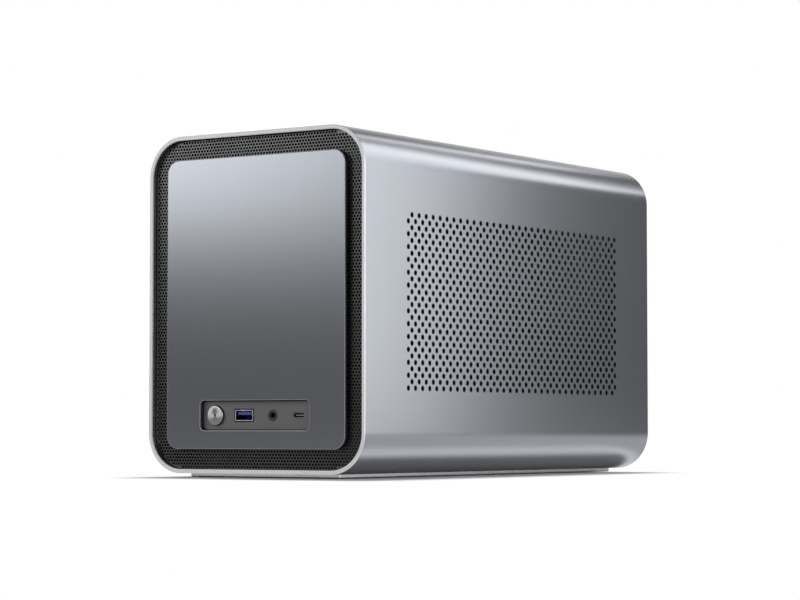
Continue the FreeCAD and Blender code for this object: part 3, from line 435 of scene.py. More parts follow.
def socket_shell_painted_shade(name, lip, inside, lip_y):
    """Plated lip of a socket whose colour darkens to the inside colour behind lip_y: painted shade deep
    in the socket.
    """
    material, tree, shader = new_finish(name, lip, metallic=1.0, roughness=0.28)
    split = tree.nodes.new("ShaderNodeSeparateXYZ")
    tree.links.new(object_space(tree), split.inputs["Vector"])
    # Painted shade: over this depth behind the lip, the colour runs to the dark inside colour
    depth = map_range(tree, split.outputs["Y"], lip_y, lip_y + SOCKET_SHADE_FADE, 0.0, 1.0)
    ramp = tree.nodes.new("ShaderNodeValToRGB")
    ramp.color_ramp.elements[0].color = (*lip, 1.0)
    ramp.color_ramp.elements[1].color = (*inside, 1.0)
    tree.links.new(depth, ramp.inputs["Fac"])
    tree.links.new(ramp.outputs["Color"], shader.inputs["Base Color"])
    cloud = noise(tree, object_space(tree), scale=180.0, detail=4.0)
    vary_roughness(tree, shader, cloud, low=0.24, high=0.34)
    return material


def moulded_plastic(name, colour, roughness):
    """Injection moulding with a fine spark-eroded texture."""
    material, tree, shader = new_finish(name, colour, metallic=0.0, roughness=roughness)
    space = object_space(tree)
    spark = noise(tree, space, scale=2200.0, detail=2.0)
    vary_colour(tree, shader, noise(tree, space, scale=90.0), colour, spread=0.05)
    vary_roughness(tree, shader, spark, low=roughness - 0.05, high=roughness + 0.07)
    relief(tree, shader, spark, strength=0.12, height=0.04 * MM)
    return material


def solder_mask(colour):
    """Board lacquer over a faint weave of glass cloth."""
    material, tree, shader = new_finish("solder mask", colour, metallic=0.0, roughness=0.32)
    weave = tree.nodes.new("ShaderNodeTexWave")
    weave.inputs["Scale"].default_value = 900.0
    weave.inputs["Distortion"].default_value = 1.5
    tree.links.new(object_space(tree), weave.inputs["Vector"])
    vary_colour(tree, shader, weave.outputs["Fac"], colour, spread=0.12)
    relief(tree, shader, weave.outputs["Fac"], strength=0.05, height=FINE_RELIEF)
    return material


# Mesh helpers

def rounded_face(bm, lo_x, hi_x, lo_z, hi_z, radius, y, segments):
    """Rectangle with round corners, facing along Y."""
    before = set(bm.faces)
    corners = [(lo_x, lo_z), (hi_x, lo_z), (hi_x, hi_z), (lo_x, hi_z)]
    verts = [bm.verts.new((x, y, z)) for x, z in corners]
    bm.faces.new(verts)
    bmesh.ops.bevel(
        bm, geom=verts, offset=radius, offset_type="OFFSET", affect="VERTICES",
        segments=segments, profile=0.5, material=-1)
    return [face for face in bm.faces if face not in before][0]


def framed_face(bm, outer, inner, y, segments):
    """Flat frame between two round-cornered outlines, each (lo_x, hi_x, lo_z, hi_z, radius)."""
    edges = []
    for outline in (outer, inner):
        face = rounded_face(bm, *outline, y, segments)
        edges += face.edges[:]
        bmesh.ops.delete(bm, geom=[face], context="FACES_ONLY")
    return bmesh.ops.bridge_loops(bm, edges=edges)["faces"]


def shift_new(bm, made, depth):
    """Moves the vertices that an extrusion made along Y, and turns the faces outwards."""
    verts = [item for item in made["geom"] if isinstance(item, bmesh.types.BMVert)]
    bmesh.ops.translate(bm, verts=verts, vec=(0.0, depth, 0.0))
    bmesh.ops.recalc_face_normals(bm, faces=bm.faces)


def pull(bm, faces, depth):
    """Extrudes faces along Y into a closed body."""
    shift_new(bm, bmesh.ops.extrude_face_region(bm, geom=faces), depth)


def rim_edges(bm, y, keep):
    """Edges on the plane at y that pass the test, where two faces meet at an angle."""
    found = []
    for edge in bm.edges:
        flat = all(abs(vert.co.y - y) < ON_PLANE for vert in edge.verts)
        if flat and len(edge.link_faces) == 2 and edge.calc_face_angle() > RIM_ANGLE and keep(edge):
            found.append(edge)
    return found


def cut_rim(bm, y, width, segments, keep=lambda edge: True):
    """Cuts the edges on the plane at y, and gives back the new faces."""
    made = bmesh.ops.bevel(
        bm, geom=rim_edges(bm, y, keep), offset=width, offset_type="OFFSET", affect="EDGES",
        segments=segments, profile=0.5, material=-1, clamp_overlap=True)
    return made["faces"]


def add_pin(bm, centre, radius, depth, axis, segments):
    """Round pin along X or Y."""
    turn = Matrix.Rotation(math.radians(90), 4, {"X": "Y", "Y": "X"}[axis])
    bmesh.ops.create_cone(
        bm, cap_ends=True, cap_tris=False, segments=segments, radius1=radius, radius2=radius,
        depth=depth, matrix=Matrix.Translation(centre) @ turn)


def spin_profile(bm, points, centre, steps):
    """Body turned about Y: points are (radius, distance along Y)."""
    verts = [bm.verts.new(centre + Vector((radius, along, 0.0))) for radius, along in points]
    edges = [bm.edges.new(pair) for pair in zip(verts, verts[1:])]
    bmesh.ops.spin(
        bm, geom=verts + edges, cent=centre, axis=ALONG_Y, angle=math.tau, steps=steps, use_merge=True)
    bmesh.ops.remove_doubles(bm, verts=bm.verts, dist=ON_PLANE)
    bmesh.ops.recalc_face_normals(bm, faces=bm.faces)


def shade(mesh, sharp_angle):
    """Smooth shading but for edges sharper than an angle in degrees."""
    mesh.shade_smooth()
    mesh.set_sharp_from_angle(angle=math.radians(sharp_angle))


def add_piece(bm, name, sharp_angle=SOFT):
    """Object at the origin from a finished bmesh."""
    mesh = bpy.data.meshes.new(name)
    bm.to_mesh(mesh)
    bm.free()
    shade(mesh, sharp_angle)
    piece = bpy.data.objects.new(name, mesh)
    bpy.context.scene.collection.objects.link(piece)
    return piece


def drill(piece, cutters):
    """Cuts the closed bodies of a bmesh out of a piece."""
    tool = add_piece(cutters, piece.name + " drill")
    cut = piece.modifiers.new("drill", "BOOLEAN")
    cut.operation = "DIFFERENCE"
    cut.solver = "MANIFOLD"
    cut.object = tool
    shaped = piece.evaluated_get(bpy.context.evaluated_depsgraph_get())
    drilled = bpy.data.meshes.new_from_object(shaped)
    if len(drilled.polygons) <= len(piece.data.polygons):
        raise RuntimeError("no hole was drilled in " + piece.name)
    if not piece.data.materials:
        drilled.materials.clear()
    piece.modifiers.clear()
    old, piece.data = piece.data, drilled
    drilled.name = piece.name
    bpy.data.meshes.remove(old)
    tool_mesh = tool.data
    bpy.data.objects.remove(tool)
    bpy.data.meshes.remove(tool_mesh)
    shade(drilled, CRISP)


def dress(piece, finishes, body, slot, *stands_for):
    """Finishes, carrier and stood-for nodes of a new piece."""
    for material in finishes:
        piece.data.materials.append(material)
    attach(piece, body)
    if stands_for:
        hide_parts(*stands_for)


def paint(material, *nodes):
    """Finish of frame nodes that show as they are."""
    for name in nodes:
        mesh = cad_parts[name].data
        mesh.materials.clear()
        mesh.materials.append(material)


class CASE_OT_sleeve(bpy.types.Operator):
    """Extruded sleeve with its drilled sides and bright-cut front rim"""
    bl_idname = "case.sleeve"
    bl_label = "Sleeve"

    def execute(self, context):
        size = context.scene.case_sleeve
        bm = bmesh.new()
        outer = (SLEEVE_LO.x, SLEEVE_HI.x, SLEEVE_LO.z, SLEEVE_HI.z, size.corner_radius)
        inner = (
            SLEEVE_LO.x + size.wall, SLEEVE_HI.x - size.wall, SLEEVE_LO.z + size.wall,
            SLEEVE_HI.z - size.wall, size.corner_radius - size.wall)
        pull(bm, framed_face(bm, outer, inner, SLEEVE_LO.y, SLEEVE_ARC), SLEEVE_HI.y - SLEEVE_LO.y)
        self.flat_borders(bm, size)

        def on_bore(edge):
            return self.within((edge.verts[0].co + edge.verts[1].co) / 2, size)

        cut_rim(bm, SLEEVE_LO.y, INNER_CUT, segments=1, keep=on_bore)
        cut_rim(bm, SLEEVE_LO.y, size.rim_bevel, segments=1, keep=lambda edge: not on_bore(edge))
        self.mark_rim(bm, size)
        piece = add_piece(bm, "sleeve_skin", CRISP)
        faced = matt_cut("faced rim", (0.77, 0.77, 0.775))
        finishes = (blasted_aluminium(size.colour), faced, bright_cut())
        dress(piece, finishes, SHELL, "sleeve_aluminium", "sleeve")
        drill(piece, self.field(size))
        return {"FINISHED"}

    @staticmethod
    def within(point, size):
        """True for a point on or inside the sleeve's inner outline."""
        half_x = SLEEVE_HI.x - size.wall
        half_z = SLEEVE_HI.z - SLEEVE_MID_Z - size.wall
        radius = size.corner_radius - size.wall
        x, z = abs(point.x), abs(point.z - SLEEVE_MID_Z)
        over_x, over_z = x - (half_x - radius), z - (half_z - radius)
        if over_x > 0 and over_z > 0:
            return math.hypot(over_x, over_z) < radius + ON_OUTLINE
        return x < half_x + ON_OUTLINE and z < half_z + ON_OUTLINE

    def mark_rim(self, bm, size):
        """Finishes by the front: faced ahead and inside, bright on the cut along the outer edge."""
        for face in bm.faces:
            middle = face.calc_center_median()
            if middle.y < SLEEVE_LO.y + size.faced_depth:
                if self.within(middle, size) or face.normal.y < FACES_FRONT:
                    face.material_index = FACED_RIM
                elif face.normal.y < LEANS_FRONT:
                    face.material_index = BRIGHT_RIM

    @staticmethod
    def flat_borders(bm, size):
        """Lines just inside the flats, so that shading of the round edges stays on them."""
        margin = size.corner_radius + FLAT_MARGIN
        cuts = [
            ((0, 0, SLEEVE_LO.z + margin), (0, 0, 1)), ((0, 0, SLEEVE_HI.z - margin), (0, 0, 1)),
            ((SLEEVE_LO.x + margin, 0, 0), (1, 0, 0)), ((SLEEVE_HI.x - margin, 0, 0), (1, 0, 0)),
            ((0, SLEEVE_LO.y + size.faced_depth, 0), (0, 1, 0)),
        ]
        for point, normal in cuts:
            geometry = bm.verts[:] + bm.edges[:] + bm.faces[:]
            bmesh.ops.bisect_plane(bm, geom=geometry, plane_co=point, plane_no=normal, dist=ON_CUT)

    @staticmethod
    def field(size):
        """Drills for the staggered field, each through both sides."""
        bm = bmesh.new()
        reach = SLEEVE_HI.x - SLEEVE_LO.x + DRILL_SPARE
        for column in range(size.columns):
            y = size.field_setback + (column - (size.columns - 1) / 2) * size.half_pitch
            for row in range(size.rows):
                if (column + row) % 2:
                    z = SLEEVE_MID_Z + ((size.rows - 1) / 2 - row) * size.half_pitch
                    add_pin(bm, (0.0, y, z), size.hole / 2, reach, "X", HOLE_SIDES)
        return bm


class CASE_OT_front_mesh(bpy.types.Operator):
    """Perforated front sheet with its bent edge and port opening"""
    bl_idname = "case.front_mesh"
    bl_label = "Front mesh"

    def execute(self, context):
        size = context.scene.case_front
        bm = bmesh.new()
        sheet = rounded_face(
            bm, MESH_LO.x - MESH_SPARE, MESH_HI.x + MESH_SPARE, MESH_LO.z - MESH_SPARE,
            MESH_HI.z + MESH_SPARE, size.mesh_radius, MESH_LO.y, MESH_ARC)
        made = bmesh.ops.extrude_edge_only(bm, edges=sheet.edges[:])
        shift_new(bm, made, MESH_HI.y - MESH_LO.y)
        cut_rim(bm, MESH_LO.y, MESH_FOLD, segments=2)
        bmesh.ops.recalc_face_normals(bm, faces=bm.faces)
        if max(bm.faces, key=lambda face: face.calc_area()).normal.y > 0:
            bmesh.ops.reverse_faces(bm, faces=bm.faces)
        bmesh.ops.solidify(bm, geom=bm.faces[:], thickness=size.mesh_thickness)
        piece = add_piece(bm, "front_mesh_sheet", CRISP)
        drill(piece, self.holes(size))
        finish = powder_coat("mesh paint", size.mesh_colour, metallic=0.95, roughness=0.33)
        dress(piece, [finish], CHASSIS, "mesh_steel", "front_mesh")
        return {"FINISHED"}

    @staticmethod
    def holes(size):
        """Drills of the closely staggered pattern around the plate, and the port opening."""
        bm = bmesh.new()
        middle_z = (MESH_LO.z + MESH_HI.z) / 2
        half_x, half_z = MESH_HI.x, MESH_HI.z - middle_z
        covered_x = PLATE_HI.x - PLATE_COVER
        covered_z = (PLATE_HI.z - PLATE_LO.z) / 2 - PLATE_COVER
        step_z = size.mesh_pitch * math.sqrt(3) / 2
        rows = int(half_z / step_z)
        columns = int(half_x / size.mesh_pitch) + 1
        for row in range(-rows, rows + 1):
            for column in range(-columns, columns + 1):
                x = (column + 0.5 * (row % 2)) * size.mesh_pitch
                z = row * step_z
                over_x = abs(x) - half_x + size.mesh_radius
                over_z = abs(z) - half_z + size.mesh_radius
                corner = math.hypot(max(over_x, 0.0), max(over_z, 0.0))
                inside = max(corner, over_x, over_z) < size.mesh_radius - MESH_MARGIN
                if inside and (abs(x) > covered_x or abs(z) > covered_z):
                    centre = (x, MESH_LO.y, middle_z + z)
                    add_pin(bm, centre, size.mesh_hole / 2, DRILL_REACH, "Y", MESH_HOLE_SIDES)
        opening = rounded_face(
            bm, BEZEL_LO.x - OPENING_GAP, BEZEL_HI.x + OPENING_GAP, 2 * PORT_Z - BEZEL_HI.z - OPENING_GAP,
            BEZEL_HI.z + OPENING_GAP, OPENING_CORNER, MESH_LO.y - DRILL_REACH / 2, segments=6)
        pull(bm, [opening], OPENING_DEPTH)
        return bm


class CASE_OT_front_plate(bpy.types.Operator):
    """Brushed plate that floats over the mesh, with the port window"""
    bl_idname = "case.front_plate"
    bl_label = "Front plate"

    def execute(self, context):
        size = context.scene.case_front
        bm = bmesh.new()
        outer = (PLATE_LO.x, PLATE_HI.x, PLATE_LO.z, PLATE_HI.z, size.plate_radius)
        half_w, half_h = size.window_width / 2, size.window_height / 2
        inner = (-half_w, half_w, PORT_Z - half_h, PORT_Z + half_h, size.window_radius)
        pull(bm, framed_face(bm, outer, inner, PLATE_LO.y, PLATE_ARC), PLATE_HI.y - PLATE_LO.y)
        for face in cut_rim(bm, PLATE_LO.y, size.plate_edge, segments=2):
            face.material_index = PLATE_EDGE
        self.lay_brush(bm)
        piece = add_piece(bm, "front_plate_skin", CRISP)
        finishes = (brushed_aluminium(size.plate_colour), matt_cut("plate edge", (0.36, 0.36, 0.37)))
        dress(piece, finishes, CHASSIS, "plate_aluminium", "front_plate")
        return {"FINISHED"}

    @staticmethod
    def lay_brush(bm):
        """Map that gives the brushing its direction: across X, up Z."""
        layer = bm.loops.layers.uv.new("brush")
        for face in bm.faces:
            for loop in face.loops:
                loop[layer].uv = (loop.vert.co.x, loop.vert.co.z)


class CASE_OT_power_button(bpy.types.Operator):
    """Turned button cap with its lamp dot"""
    bl_idname = "case.power_button"
    bl_label = "Power button"

    def execute(self, context):
        centre = Vector((BUTTON_X, BUTTON_LO.y, PORT_Z))
        piece = self.cap(centre)
        dress(piece, [spun_aluminium((0.37, 0.375, 0.385))], BUTTON, "button_aluminium", "power_button")
        lens = self.lamp(centre)
        black = moulded_plastic("lamp dot", (0.004, 0.004, 0.004), roughness=0.6)
        dress(lens, [black], BUTTON, "button_aluminium")
        return {"FINISHED"}

    @staticmethod
    def cap(centre):
        """Slightly domed cap with a dimple for the lamp, a flange behind it and a stem."""
        cap, flange, stem = CAP_RADIUS, 6.8 * MM, 2.0 * MM
        dimple, dimple_depth = 0.85 * MM, 0.25 * MM
        flange_front, flange_back = 4.3 * MM, 5.3 * MM
        deep = BUTTON_HI.y - BUTTON_LO.y
        points = [
            (0.0, dimple_depth), (dimple, dimple_depth), (0.9 * MM, 0.15 * MM), (cap - 0.55 * MM, 0.0),
            (cap - 0.2 * MM, 0.08 * MM), (cap - 0.05 * MM, 0.25 * MM), (cap, 0.55 * MM),
            (cap, flange_front), (flange, flange_front), (flange, flange_back), (stem, flange_back),
            (stem, deep), (0.0, deep),
        ]
        bm = bmesh.new()
        spin_profile(bm, points, centre, steps=72)
        return add_piece(bm, "power_button_cap", TURNED)

    @staticmethod
    def lamp(centre):
        """Small dark lens in the dimple."""
        radius, depth, setback = 0.8 * MM, 0.2 * MM, 0.3 * MM
        bm = bmesh.new()
        add_pin(bm, centre + ALONG_Y * setback, radius, depth, "Y", segments=24)
        return add_piece(bm, "button_lamp")


class CASE_OT_ports(bpy.types.Operator):
    """Contacts and lips of the sockets, and the finishes of their shells, with painted shade inside the
    shells
    """
    bl_idname = "case.ports"
    bl_label = "Ports"

    def execute(self, context):
        gold = plated_steel("contact gold", (0.83, 0.60, 0.25), roughness=0.28)
        nickel = plated_steel("port nickel", (0.70, 0.70, 0.71), roughness=0.25)
        # Black of the sockets and switch, also put on the bezel as painted shade
        socket = moulded_plastic("socket black and bezel shade", (0.018, 0.018, 0.02), roughness=0.42)
        grey = moulded_plastic("panel grey", (0.118, 0.115, 0.117), roughness=0.5)
        # Painted shade for the insides of the USB shells, behind their lips
        painted_socket_shade = (0.03, 0.03, 0.032)
        shell_a = socket_shell_painted_shade("USB-A shell", (0.72, 0.72, 0.73), painted_socket_shade, lip_y=SHELL_A_LO.y + 0.3 * MM)
        shell_c = socket_shell_painted_shade("USB-C shell", (0.30, 0.30, 0.31), painted_socket_shade, lip_y=SHELL_C_LO.y + 0.2 * MM)
        paint(nickel, "inlet_pins")
        paint(shell_a, "usb_a_shell")
        paint(shell_c, "usb_c_shell")
        paint(moulded_plastic("tongue blue", (0.012, 0.06, 0.30), roughness=0.4), "usb_a_tongue")
        paint(moulded_plastic("tongue grey", (0.20, 0.20, 0.20), roughness=0.4), "usb_c_tongue")
        # The bezel takes this black so that its pocket and the gap round the grey facing read dark:
        # painted shade. The sockets and switch are black of their own.
        paint(socket, "io_bezel", "audio_jack", "tact_switch", "switch_plunger")
        paint(solder_mask((0.012, 0.03, 0.02)), "io_board")
        dress(self.panel(context.scene.case_front), [grey], CHASSIS, "bezel_grey")
        dress(self.contacts(), [gold], CHASSIS, "port_steel")
        dress(self.jack_ring(), [socket], CHASSIS, "port_steel")
        return {"FINISHED"}

    @staticmethod
    def panel(size):
        """Thin facing on the floor of the recess, with a gap round it where the black-painted bezel shows
        as painted shade.
        """
        half_w = size.window_width / 2 - PANEL_GAP
        half_h = size.window_height / 2 - PANEL_GAP
        bm = bmesh.new()
        face = rounded_face(
            bm, -half_w, half_w, PORT_Z - half_h, PORT_Z + half_h, size.window_radius - PANEL_GAP,
            PANEL_Y, segments=8)
        pull(bm, [face], FLOOR_Y - PANEL_Y)
        cut_rim(bm, PANEL_Y, PANEL_EDGE, segments=2)
        piece = add_piece(bm, "port_panel", CRISP)
        cutters = bmesh.new()
        for x, radius in ((BUTTON_X, CAP_RADIUS), (JACK_X, JACK_RADIUS)):
            add_pin(cutters, (x, PANEL_Y, PORT_Z), radius + ROUND_GAP, DRILL_REACH, "Y", segments=48)
        mouths = (
            (SHELL_A_LO, SHELL_A_HI, 0.8 * MM, 0.9 * MM),
            (SHELL_C_LO, SHELL_C_HI, 0.25 * MM, 1.85 * MM),
        )
        for low, high, margin, radius in mouths:
            hole = rounded_face(
                cutters, low.x - margin, high.x + margin, low.z - margin, high.z + margin, radius,
                PANEL_Y - DRILL_REACH / 2, segments=8)
            pull(cutters, [hole], DRILL_REACH)
        drill(piece, cutters)
        return piece

    @staticmethod
    def contacts():
        """Pads on the tongues of the two USB sockets."""
        bm = bmesh.new()
        rows = (
            {"low": TONGUE_A_LO, "high": TONGUE_A_HI, "lift": PAD_LIFT,
             "count": 4, "step": 2.3 * MM, "width": 1.0 * MM, "length": 6.0 * MM},
            {"low": TONGUE_C_LO, "high": TONGUE_C_HI, "lift": -PAD_LIFT,
             "count": 12, "step": 0.5 * MM, "width": 0.25 * MM, "length": 4.0 * MM},
        )
        for row in rows:
            middle_x = (row["low"].x + row["high"].x) / 2
            y = row["low"].y + PAD_SETBACK + row["length"] / 2
            shape = Matrix.Diagonal((row["width"], row["length"], PAD_THICKNESS, 1.0))
            for index in range(row["count"]):
                x = middle_x + (index - (row["count"] - 1) / 2) * row["step"]
                place = Matrix.Translation((x, y, PORT_Z + row["lift"]))
                bmesh.ops.create_cube(bm, size=1.0, matrix=place @ shape)
        return add_piece(bm, "port_contacts")

    @staticmethod
    def jack_ring():
        """Rolled lip round the mouth of the audio socket."""
        bm = bmesh.new()
        points = [
            (2.1 * MM, 0.0), (2.2 * MM, -0.25 * MM), (2.6 * MM, -0.35 * MM), (3.0 * MM, -0.25 * MM),
            (3.1 * MM, 0.0), (2.1 * MM, 0.0),
        ]
        spin_profile(bm, points, Vector((JACK_X, JACK_LO.y, PORT_Z)), steps=40)
        return add_piece(bm, "audio_lip")


class CASE_OT_thumbscrews(bpy.types.Operator):
    """Knurled thumbscrews that hold the drawer from the rear"""
    bl_idname = "case.thumbscrews"
    bl_label = "Thumbscrews"

    def execute(self, context):
        bm = bmesh.new()
        head = 4.6 * MM
        for x in (THUMB_LO.x + head, THUMB_HI.x - head):
            for z in (THUMB_LO.z + head, THUMB_HI.z - head):
                self.screw(bm, Vector((x, THUMB_LO.y, z)), head)
        bmesh.ops.remove_doubles(bm, verts=bm.verts, dist=ON_PLANE)
        piece = add_piece(bm, "thumbscrew_set", NOTCHED)
        finish = plated_steel("thumbscrew nickel", (0.60, 0.60, 0.61), roughness=0.3)
        dress(piece, [finish], SHELL, "zinc_steel", "thumbscrews")
        return {"FINISHED"}

    @staticmethod
    def screw(bm, tip, head):
        """One turned screw, its grip notched all round."""
        part = bmesh.new()
        thread, collar, collar_start = 1.6 * MM, 3.6 * MM, 8.0 * MM
        grip, top, slot_depth, notch = 10.0 * MM, 15.5 * MM, 0.6 * MM, 0.28 * MM
        points = [
            (0.0, 0.0), (1.3 * MM, 0.0), (thread, 0.4 * MM), (thread, collar_start),
            (collar, collar_start), (collar, grip - 0.4 * MM), (head - 0.3 * MM, grip - 0.2 * MM),
            (head, grip + 0.2 * MM), (head, top - 0.6 * MM), (head - 0.5 * MM, top), (2.2 * MM, top),
            (2.0 * MM, top - slot_depth), (0.0, top - slot_depth),
        ]
        steps = 56
        spin_profile(part, points, tip, steps)
        for vert in part.verts:
            offset = vert.co - tip
            around = math.atan2(offset.z, offset.x)
            on_grip = math.hypot(offset.x, offset.z) > head - ON_OUTLINE
            if on_grip and round(around / math.tau * steps) % 2:
                vert.co -= Vector((offset.x, 0.0, offset.z)).normalized() * notch
        mesh = bpy.data.meshes.new("thumbscrew")
        part.to_mesh(mesh)
        part.free()
        bm.from_mesh(mesh)
        bpy.data.meshes.remove(mesh)


class CASE_OT_chassis_finish(bpy.types.Operator):
    """Finishes of the drawer chassis, the fan, the fasteners and the foot"""
    bl_idname = "case.chassis_finish"
    bl_label = "Chassis finish"

    def execute(self, context):
        paint(powder_coat("chassis black", (0.022, 0.022, 0.024)),
              "chassis_tub", "front_pan", "rear_panel", "top_rail", "psu_bracket", "rear_ring")
        paint(plated_steel("zinc plate", (0.58, 0.58, 0.57), roughness=0.34),
              "slot_cover_upper", "slot_cover_lower", "slot_screws", "bracket_screws", "fan_screws",
              "inlet_screws", "board_screws", "plate_screws", "base_screws", "rivets")
        paint(plated_steel("turned brass", (0.70, 0.50, 0.20), roughness=0.26), "motherboard_standoffs")
        paint(moulded_plastic("fan black", (0.02, 0.02, 0.021), roughness=0.38), "fan_frame", "fan_rotor")
        paint(moulded_plastic("inlet black", (0.016, 0.016, 0.017), roughness=0.5), "power_inlet")
        paint(moulded_plastic("nylon", (0.62, 0.62, 0.58), roughness=0.4),
              "runner_left", "runner_right", "plate_spacers")
        paint(plated_steel("foot silver", (0.60, 0.60, 0.60), roughness=0.22), "base_plate")
        return {"FINISHED"}


class CASE_OT_stage(bpy.types.Operator):
    """Pale floor, soft boxes, surround and camera"""
    bl_idname = "case.stage"
    bl_label = "Stage"

    def execute(self, context):
        scene = context.scene
        size = scene.case_stage
        self.floor(size)
        self.surround(scene, size)
        for name, box in SOFT_BOXES.items():
            self.soft_box(scene, name, **box)
        self.camera(scene, size)
        scene.view_settings.view_transform = "Standard"
        return {"FINISHED"}

    @staticmethod
    def heading(size, turn=0.0):
        """Level direction that the camera looks in, turned about Z."""
        angle = size.azimuth + turn
        return Vector((-math.sin(angle), math.cos(angle), 0.0))

    @staticmethod
    def dot(tree, vector, direction):
        """How far a vector reaches along a fixed direction."""
        product = tree.nodes.new("ShaderNodeVectorMath")
        product.operation = "DOT_PRODUCT"
        product.inputs[1].default_value = direction
        tree.links.new(vector, product.inputs[0])
        return product.outputs["Value"]

    @staticmethod
    def clear_of_case(tree, split, shift_x, shift_y):
        """Distance of a floor point from the case's outline, which may be shifted."""
        squares = []
        for axis, reach, shift in (("X", SLEEVE_HI.x, shift_x), ("Y", SLEEVE_HI.y, shift_y)):
            across = math_node(tree, "ABSOLUTE", math_node(tree, "SUBTRACT", split.outputs[axis], shift))
            over = math_node(tree, "SUBTRACT", across, reach - FLOOR_TUCK)
            over = math_node(tree, "MAXIMUM", over, 0.0)
            squares.append(math_node(tree, "MULTIPLY", over, over))
        return math_node(tree, "SQRT", math_node(tree, "ADD", *squares))

    def view_wedge(self, tree, place, size):
        """One on the part of the floor that the camera looks over, easing to none beside it."""
        start = tree.nodes.new("ShaderNodeVectorMath")
        start.operation = "SUBTRACT"
        start.inputs[1].default_value = size.camera
        tree.links.new(place, start.inputs[0])
        from_camera = start.outputs["Vector"]
        deep = self.dot(tree, from_camera, self.heading(size))
        side = self.dot(tree, from_camera, self.heading(size, math.radians(-90)))
        spread = math_node(tree, "ABSOLUTE", math_node(tree, "DIVIDE", side, deep))
        return smooth_step(tree, spread, WEDGE_FULL, WEDGE_END, 1.0, 0.0)

    def shown_white(self, tree, place, size):
        """Share of white on the floor: all but the shadow for the camera, where a zone leaned towards the
        camera keeps the floor's own grey as a partly painted shadow; less for reflections, with a glowing
        band just beside the case as a painted highlight.
        """
        split = tree.nodes.new("ShaderNodeSeparateXYZ")
        tree.links.new(place, split.inputs["Vector"])
        away = self.clear_of_case(tree, split, 0.0, 0.0)
        # Painted shadow: the zone kept from white is leaned towards the camera, so the grey floor draws a
        # longer shadow in front of the case
        toward = self.heading(size) * -SHADOW_LEAN
        leaning = self.clear_of_case(tree, split, toward.x, toward.y)
        paths = tree.nodes.new("ShaderNodeLightPath").outputs
        seen = math_node(
            tree, "MULTIPLY", paths["Is Camera Ray"],
            smooth_step(tree, leaning, 0.0, SHADOW_FADE, 0.0, 1.0))
        # Painted highlight: seen in reflections, the floor glows fully in a band from MIRROR_START to
        # MIRROR_FULL beside the case and fades to MIRROR_FAR further off
        reflected_glow_band = math_node(
            tree, "MULTIPLY", smooth_step(tree, away, MIRROR_START, MIRROR_FULL, 0.0, 1.0),
            smooth_step(tree, away, MIRROR_FULL, MIRROR_END, 1.0, MIRROR_FAR))
        mirrored = math_node(tree, "MAXIMUM", paths["Is Glossy Ray"], paths["Is Transmission Ray"])
        shown = math_node(tree, "MULTIPLY", self.view_wedge(tree, place, size), reflected_glow_band)
        return math_node(tree, "MAXIMUM", seen, math_node(tree, "MULTIPLY", mirrored, shown))

    def floor(self, size):
        """Pale floor that shows white around the object and keeps its shadow close by, partly painted by
        its own grey, and glows beside the case in reflections as a painted highlight.
        """
        bm = bmesh.new()
        bmesh.ops.create_grid(bm, x_segments=1, y_segments=1, size=FLOOR_HALF)
        bmesh.ops.translate(bm, verts=bm.verts, vec=(0.0, 0.0, -FLOOR_DROP))
        floor = add_piece(bm, "floor")
        material, tree, shader = new_finish("floor paint", size.floor_colour, metallic=0.0, roughness=0.9)
        place = object_space(tree)
        vary_roughness(tree, shader, noise(tree, place, scale=8.0), low=0.85, high=0.95)
        glow = tree.nodes.new("ShaderNodeEmission")
        glow.inputs["Color"].default_value = (1.0, 1.0, 1.0, 1.0)
        mix = tree.nodes.new("ShaderNodeMixShader")
        tree.links.new(self.shown_white(tree, place, size), mix.inputs["Fac"])
        tree.links.new(shader.outputs["BSDF"], mix.inputs[1])
        tree.links.new(glow.outputs["Emission"], mix.inputs[2])
        tree.links.new(mix.outputs["Shader"], tree.nodes["Material Output"].inputs["Surface"])
        floor.data.materials.append(material)

    def surround(self, scene, size):
        """White to the camera, and ahead of it and behind it in reflections, with grey sides."""
        world = bpy.data.worlds.new("studio")
        world.use_nodes = True
        scene.world = world
        tree = world.node_tree
        place = tree.nodes.new("ShaderNodeTexCoord")
        facing = self.dot(tree, place.outputs["Generated"], self.heading(size))
        squarely = math_node(tree, "ABSOLUTE", facing)
        ends = smooth_step(tree, squarely, ENDS_START, ENDS_FULL, 0.0, 1.0)
        sides = smooth_step(tree, facing, -SIDES_TURN, SIDES_TURN, GREY_BEHIND, GREY_AHEAD)
        paths = tree.nodes.new("ShaderNodeLightPath").outputs
        direct = math_node(tree, "MAXIMUM", paths["Is Camera Ray"], paths["Is Transmission Ray"])
        white = math_node(tree, "MAXIMUM", ends, direct)
        backdrop = tree.nodes["Background"]
        backdrop.inputs["Color"].default_value = (1.0, 1.0, 1.0, 1.0)
        tree.links.new(math_node(tree, "MAXIMUM", white, sides), backdrop.inputs["Strength"])

    @staticmethod
    def soft_box(scene, name, place, target, width, height, power):
        """Rectangular lamp aimed at a point, which the camera doesn't see."""
        lamp = bpy.data.lights.new(name, "AREA")
        lamp.shape = "RECTANGLE"
        lamp.size = width
        lamp.size_y = height
        lamp.energy = power
        box = bpy.data.objects.new(name, lamp)
        box.location = place
        box.rotation_euler = (Vector(target) - Vector(place)).to_track_quat("-Z", "Y").to_euler()
        box.visible_camera = False
        scene.collection.objects.link(box)

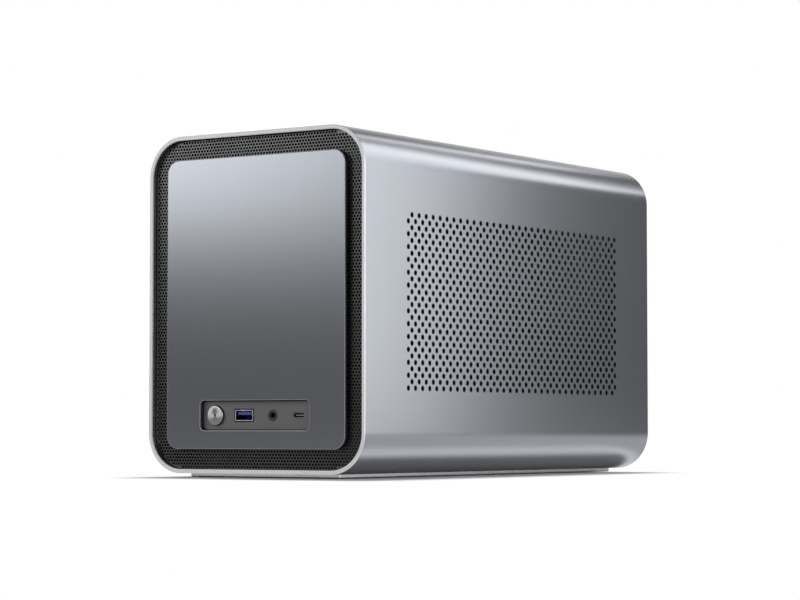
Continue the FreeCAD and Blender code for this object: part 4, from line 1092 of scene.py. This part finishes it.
    def camera(self, scene, size):
        """Camera at the photograph's view."""
        lens = bpy.data.cameras.new("camera")
        lens.sensor_width = 36.0
        lens.sensor_fit = "HORIZONTAL"
        lens.lens = size.lens
        lens.clip_start = 0.01
        camera = bpy.data.objects.new("camera", lens)
        camera.location = size.camera
        ahead = self.heading(size) * math.cos(size.pitch)
        ahead.z = math.sin(size.pitch)
        camera.rotation_euler = ahead.to_track_quat("-Z", "Y").to_euler()
        scene.collection.objects.link(camera)
        scene.camera = camera


class CASE_PT_panel(bpy.types.Panel):
    """Sizes and build steps of the case"""
    bl_idname = "CASE_PT_panel"
    bl_label = "Drawer Computer Case"
    bl_space_type = "VIEW_3D"
    bl_region_type = "UI"
    bl_category = "Case"

    def draw(self, context):
        for group in GROUPS:
            settings = getattr(context.scene, group)
            column = self.layout.column()
            for name in settings.__annotations__:
                column.prop(settings, name)
        for step in STEPS:
            self.layout.operator(step.bl_idname)


GROUPS = {
    "case_sleeve": CaseSleeveSettings,
    "case_front": CaseFrontSettings,
    "case_stage": CaseStageSettings,
}
STEPS = (
    CASE_OT_sleeve,
    CASE_OT_front_mesh,
    CASE_OT_front_plate,
    CASE_OT_power_button,
    CASE_OT_ports,
    CASE_OT_thumbscrews,
    CASE_OT_chassis_finish,
    CASE_OT_stage,
)


def register():
    """Adds the settings, the build steps and the panel."""
    for name, group in GROUPS.items():
        bpy.utils.register_class(group)
        setattr(bpy.types.Scene, name, bpy.props.PointerProperty(type=group))
    for step in STEPS:
        bpy.utils.register_class(step)
    bpy.utils.register_class(CASE_PT_panel)


def unregister():
    """Takes away what register added, in the opposite order."""
    bpy.utils.unregister_class(CASE_PT_panel)
    for step in reversed(STEPS):
        bpy.utils.unregister_class(step)
    for name, group in reversed(GROUPS.items()):
        delattr(bpy.types.Scene, name)
        bpy.utils.unregister_class(group)


def main():
    """Builds every piece and the stage."""
    register()
    bpy.ops.case.sleeve()
    bpy.ops.case.front_mesh()
    bpy.ops.case.front_plate()
    bpy.ops.case.power_button()
    bpy.ops.case.ports()
    bpy.ops.case.thumbscrews()
    bpy.ops.case.chassis_finish()
    bpy.ops.case.stage()


if __name__ == "__main__":
    main()
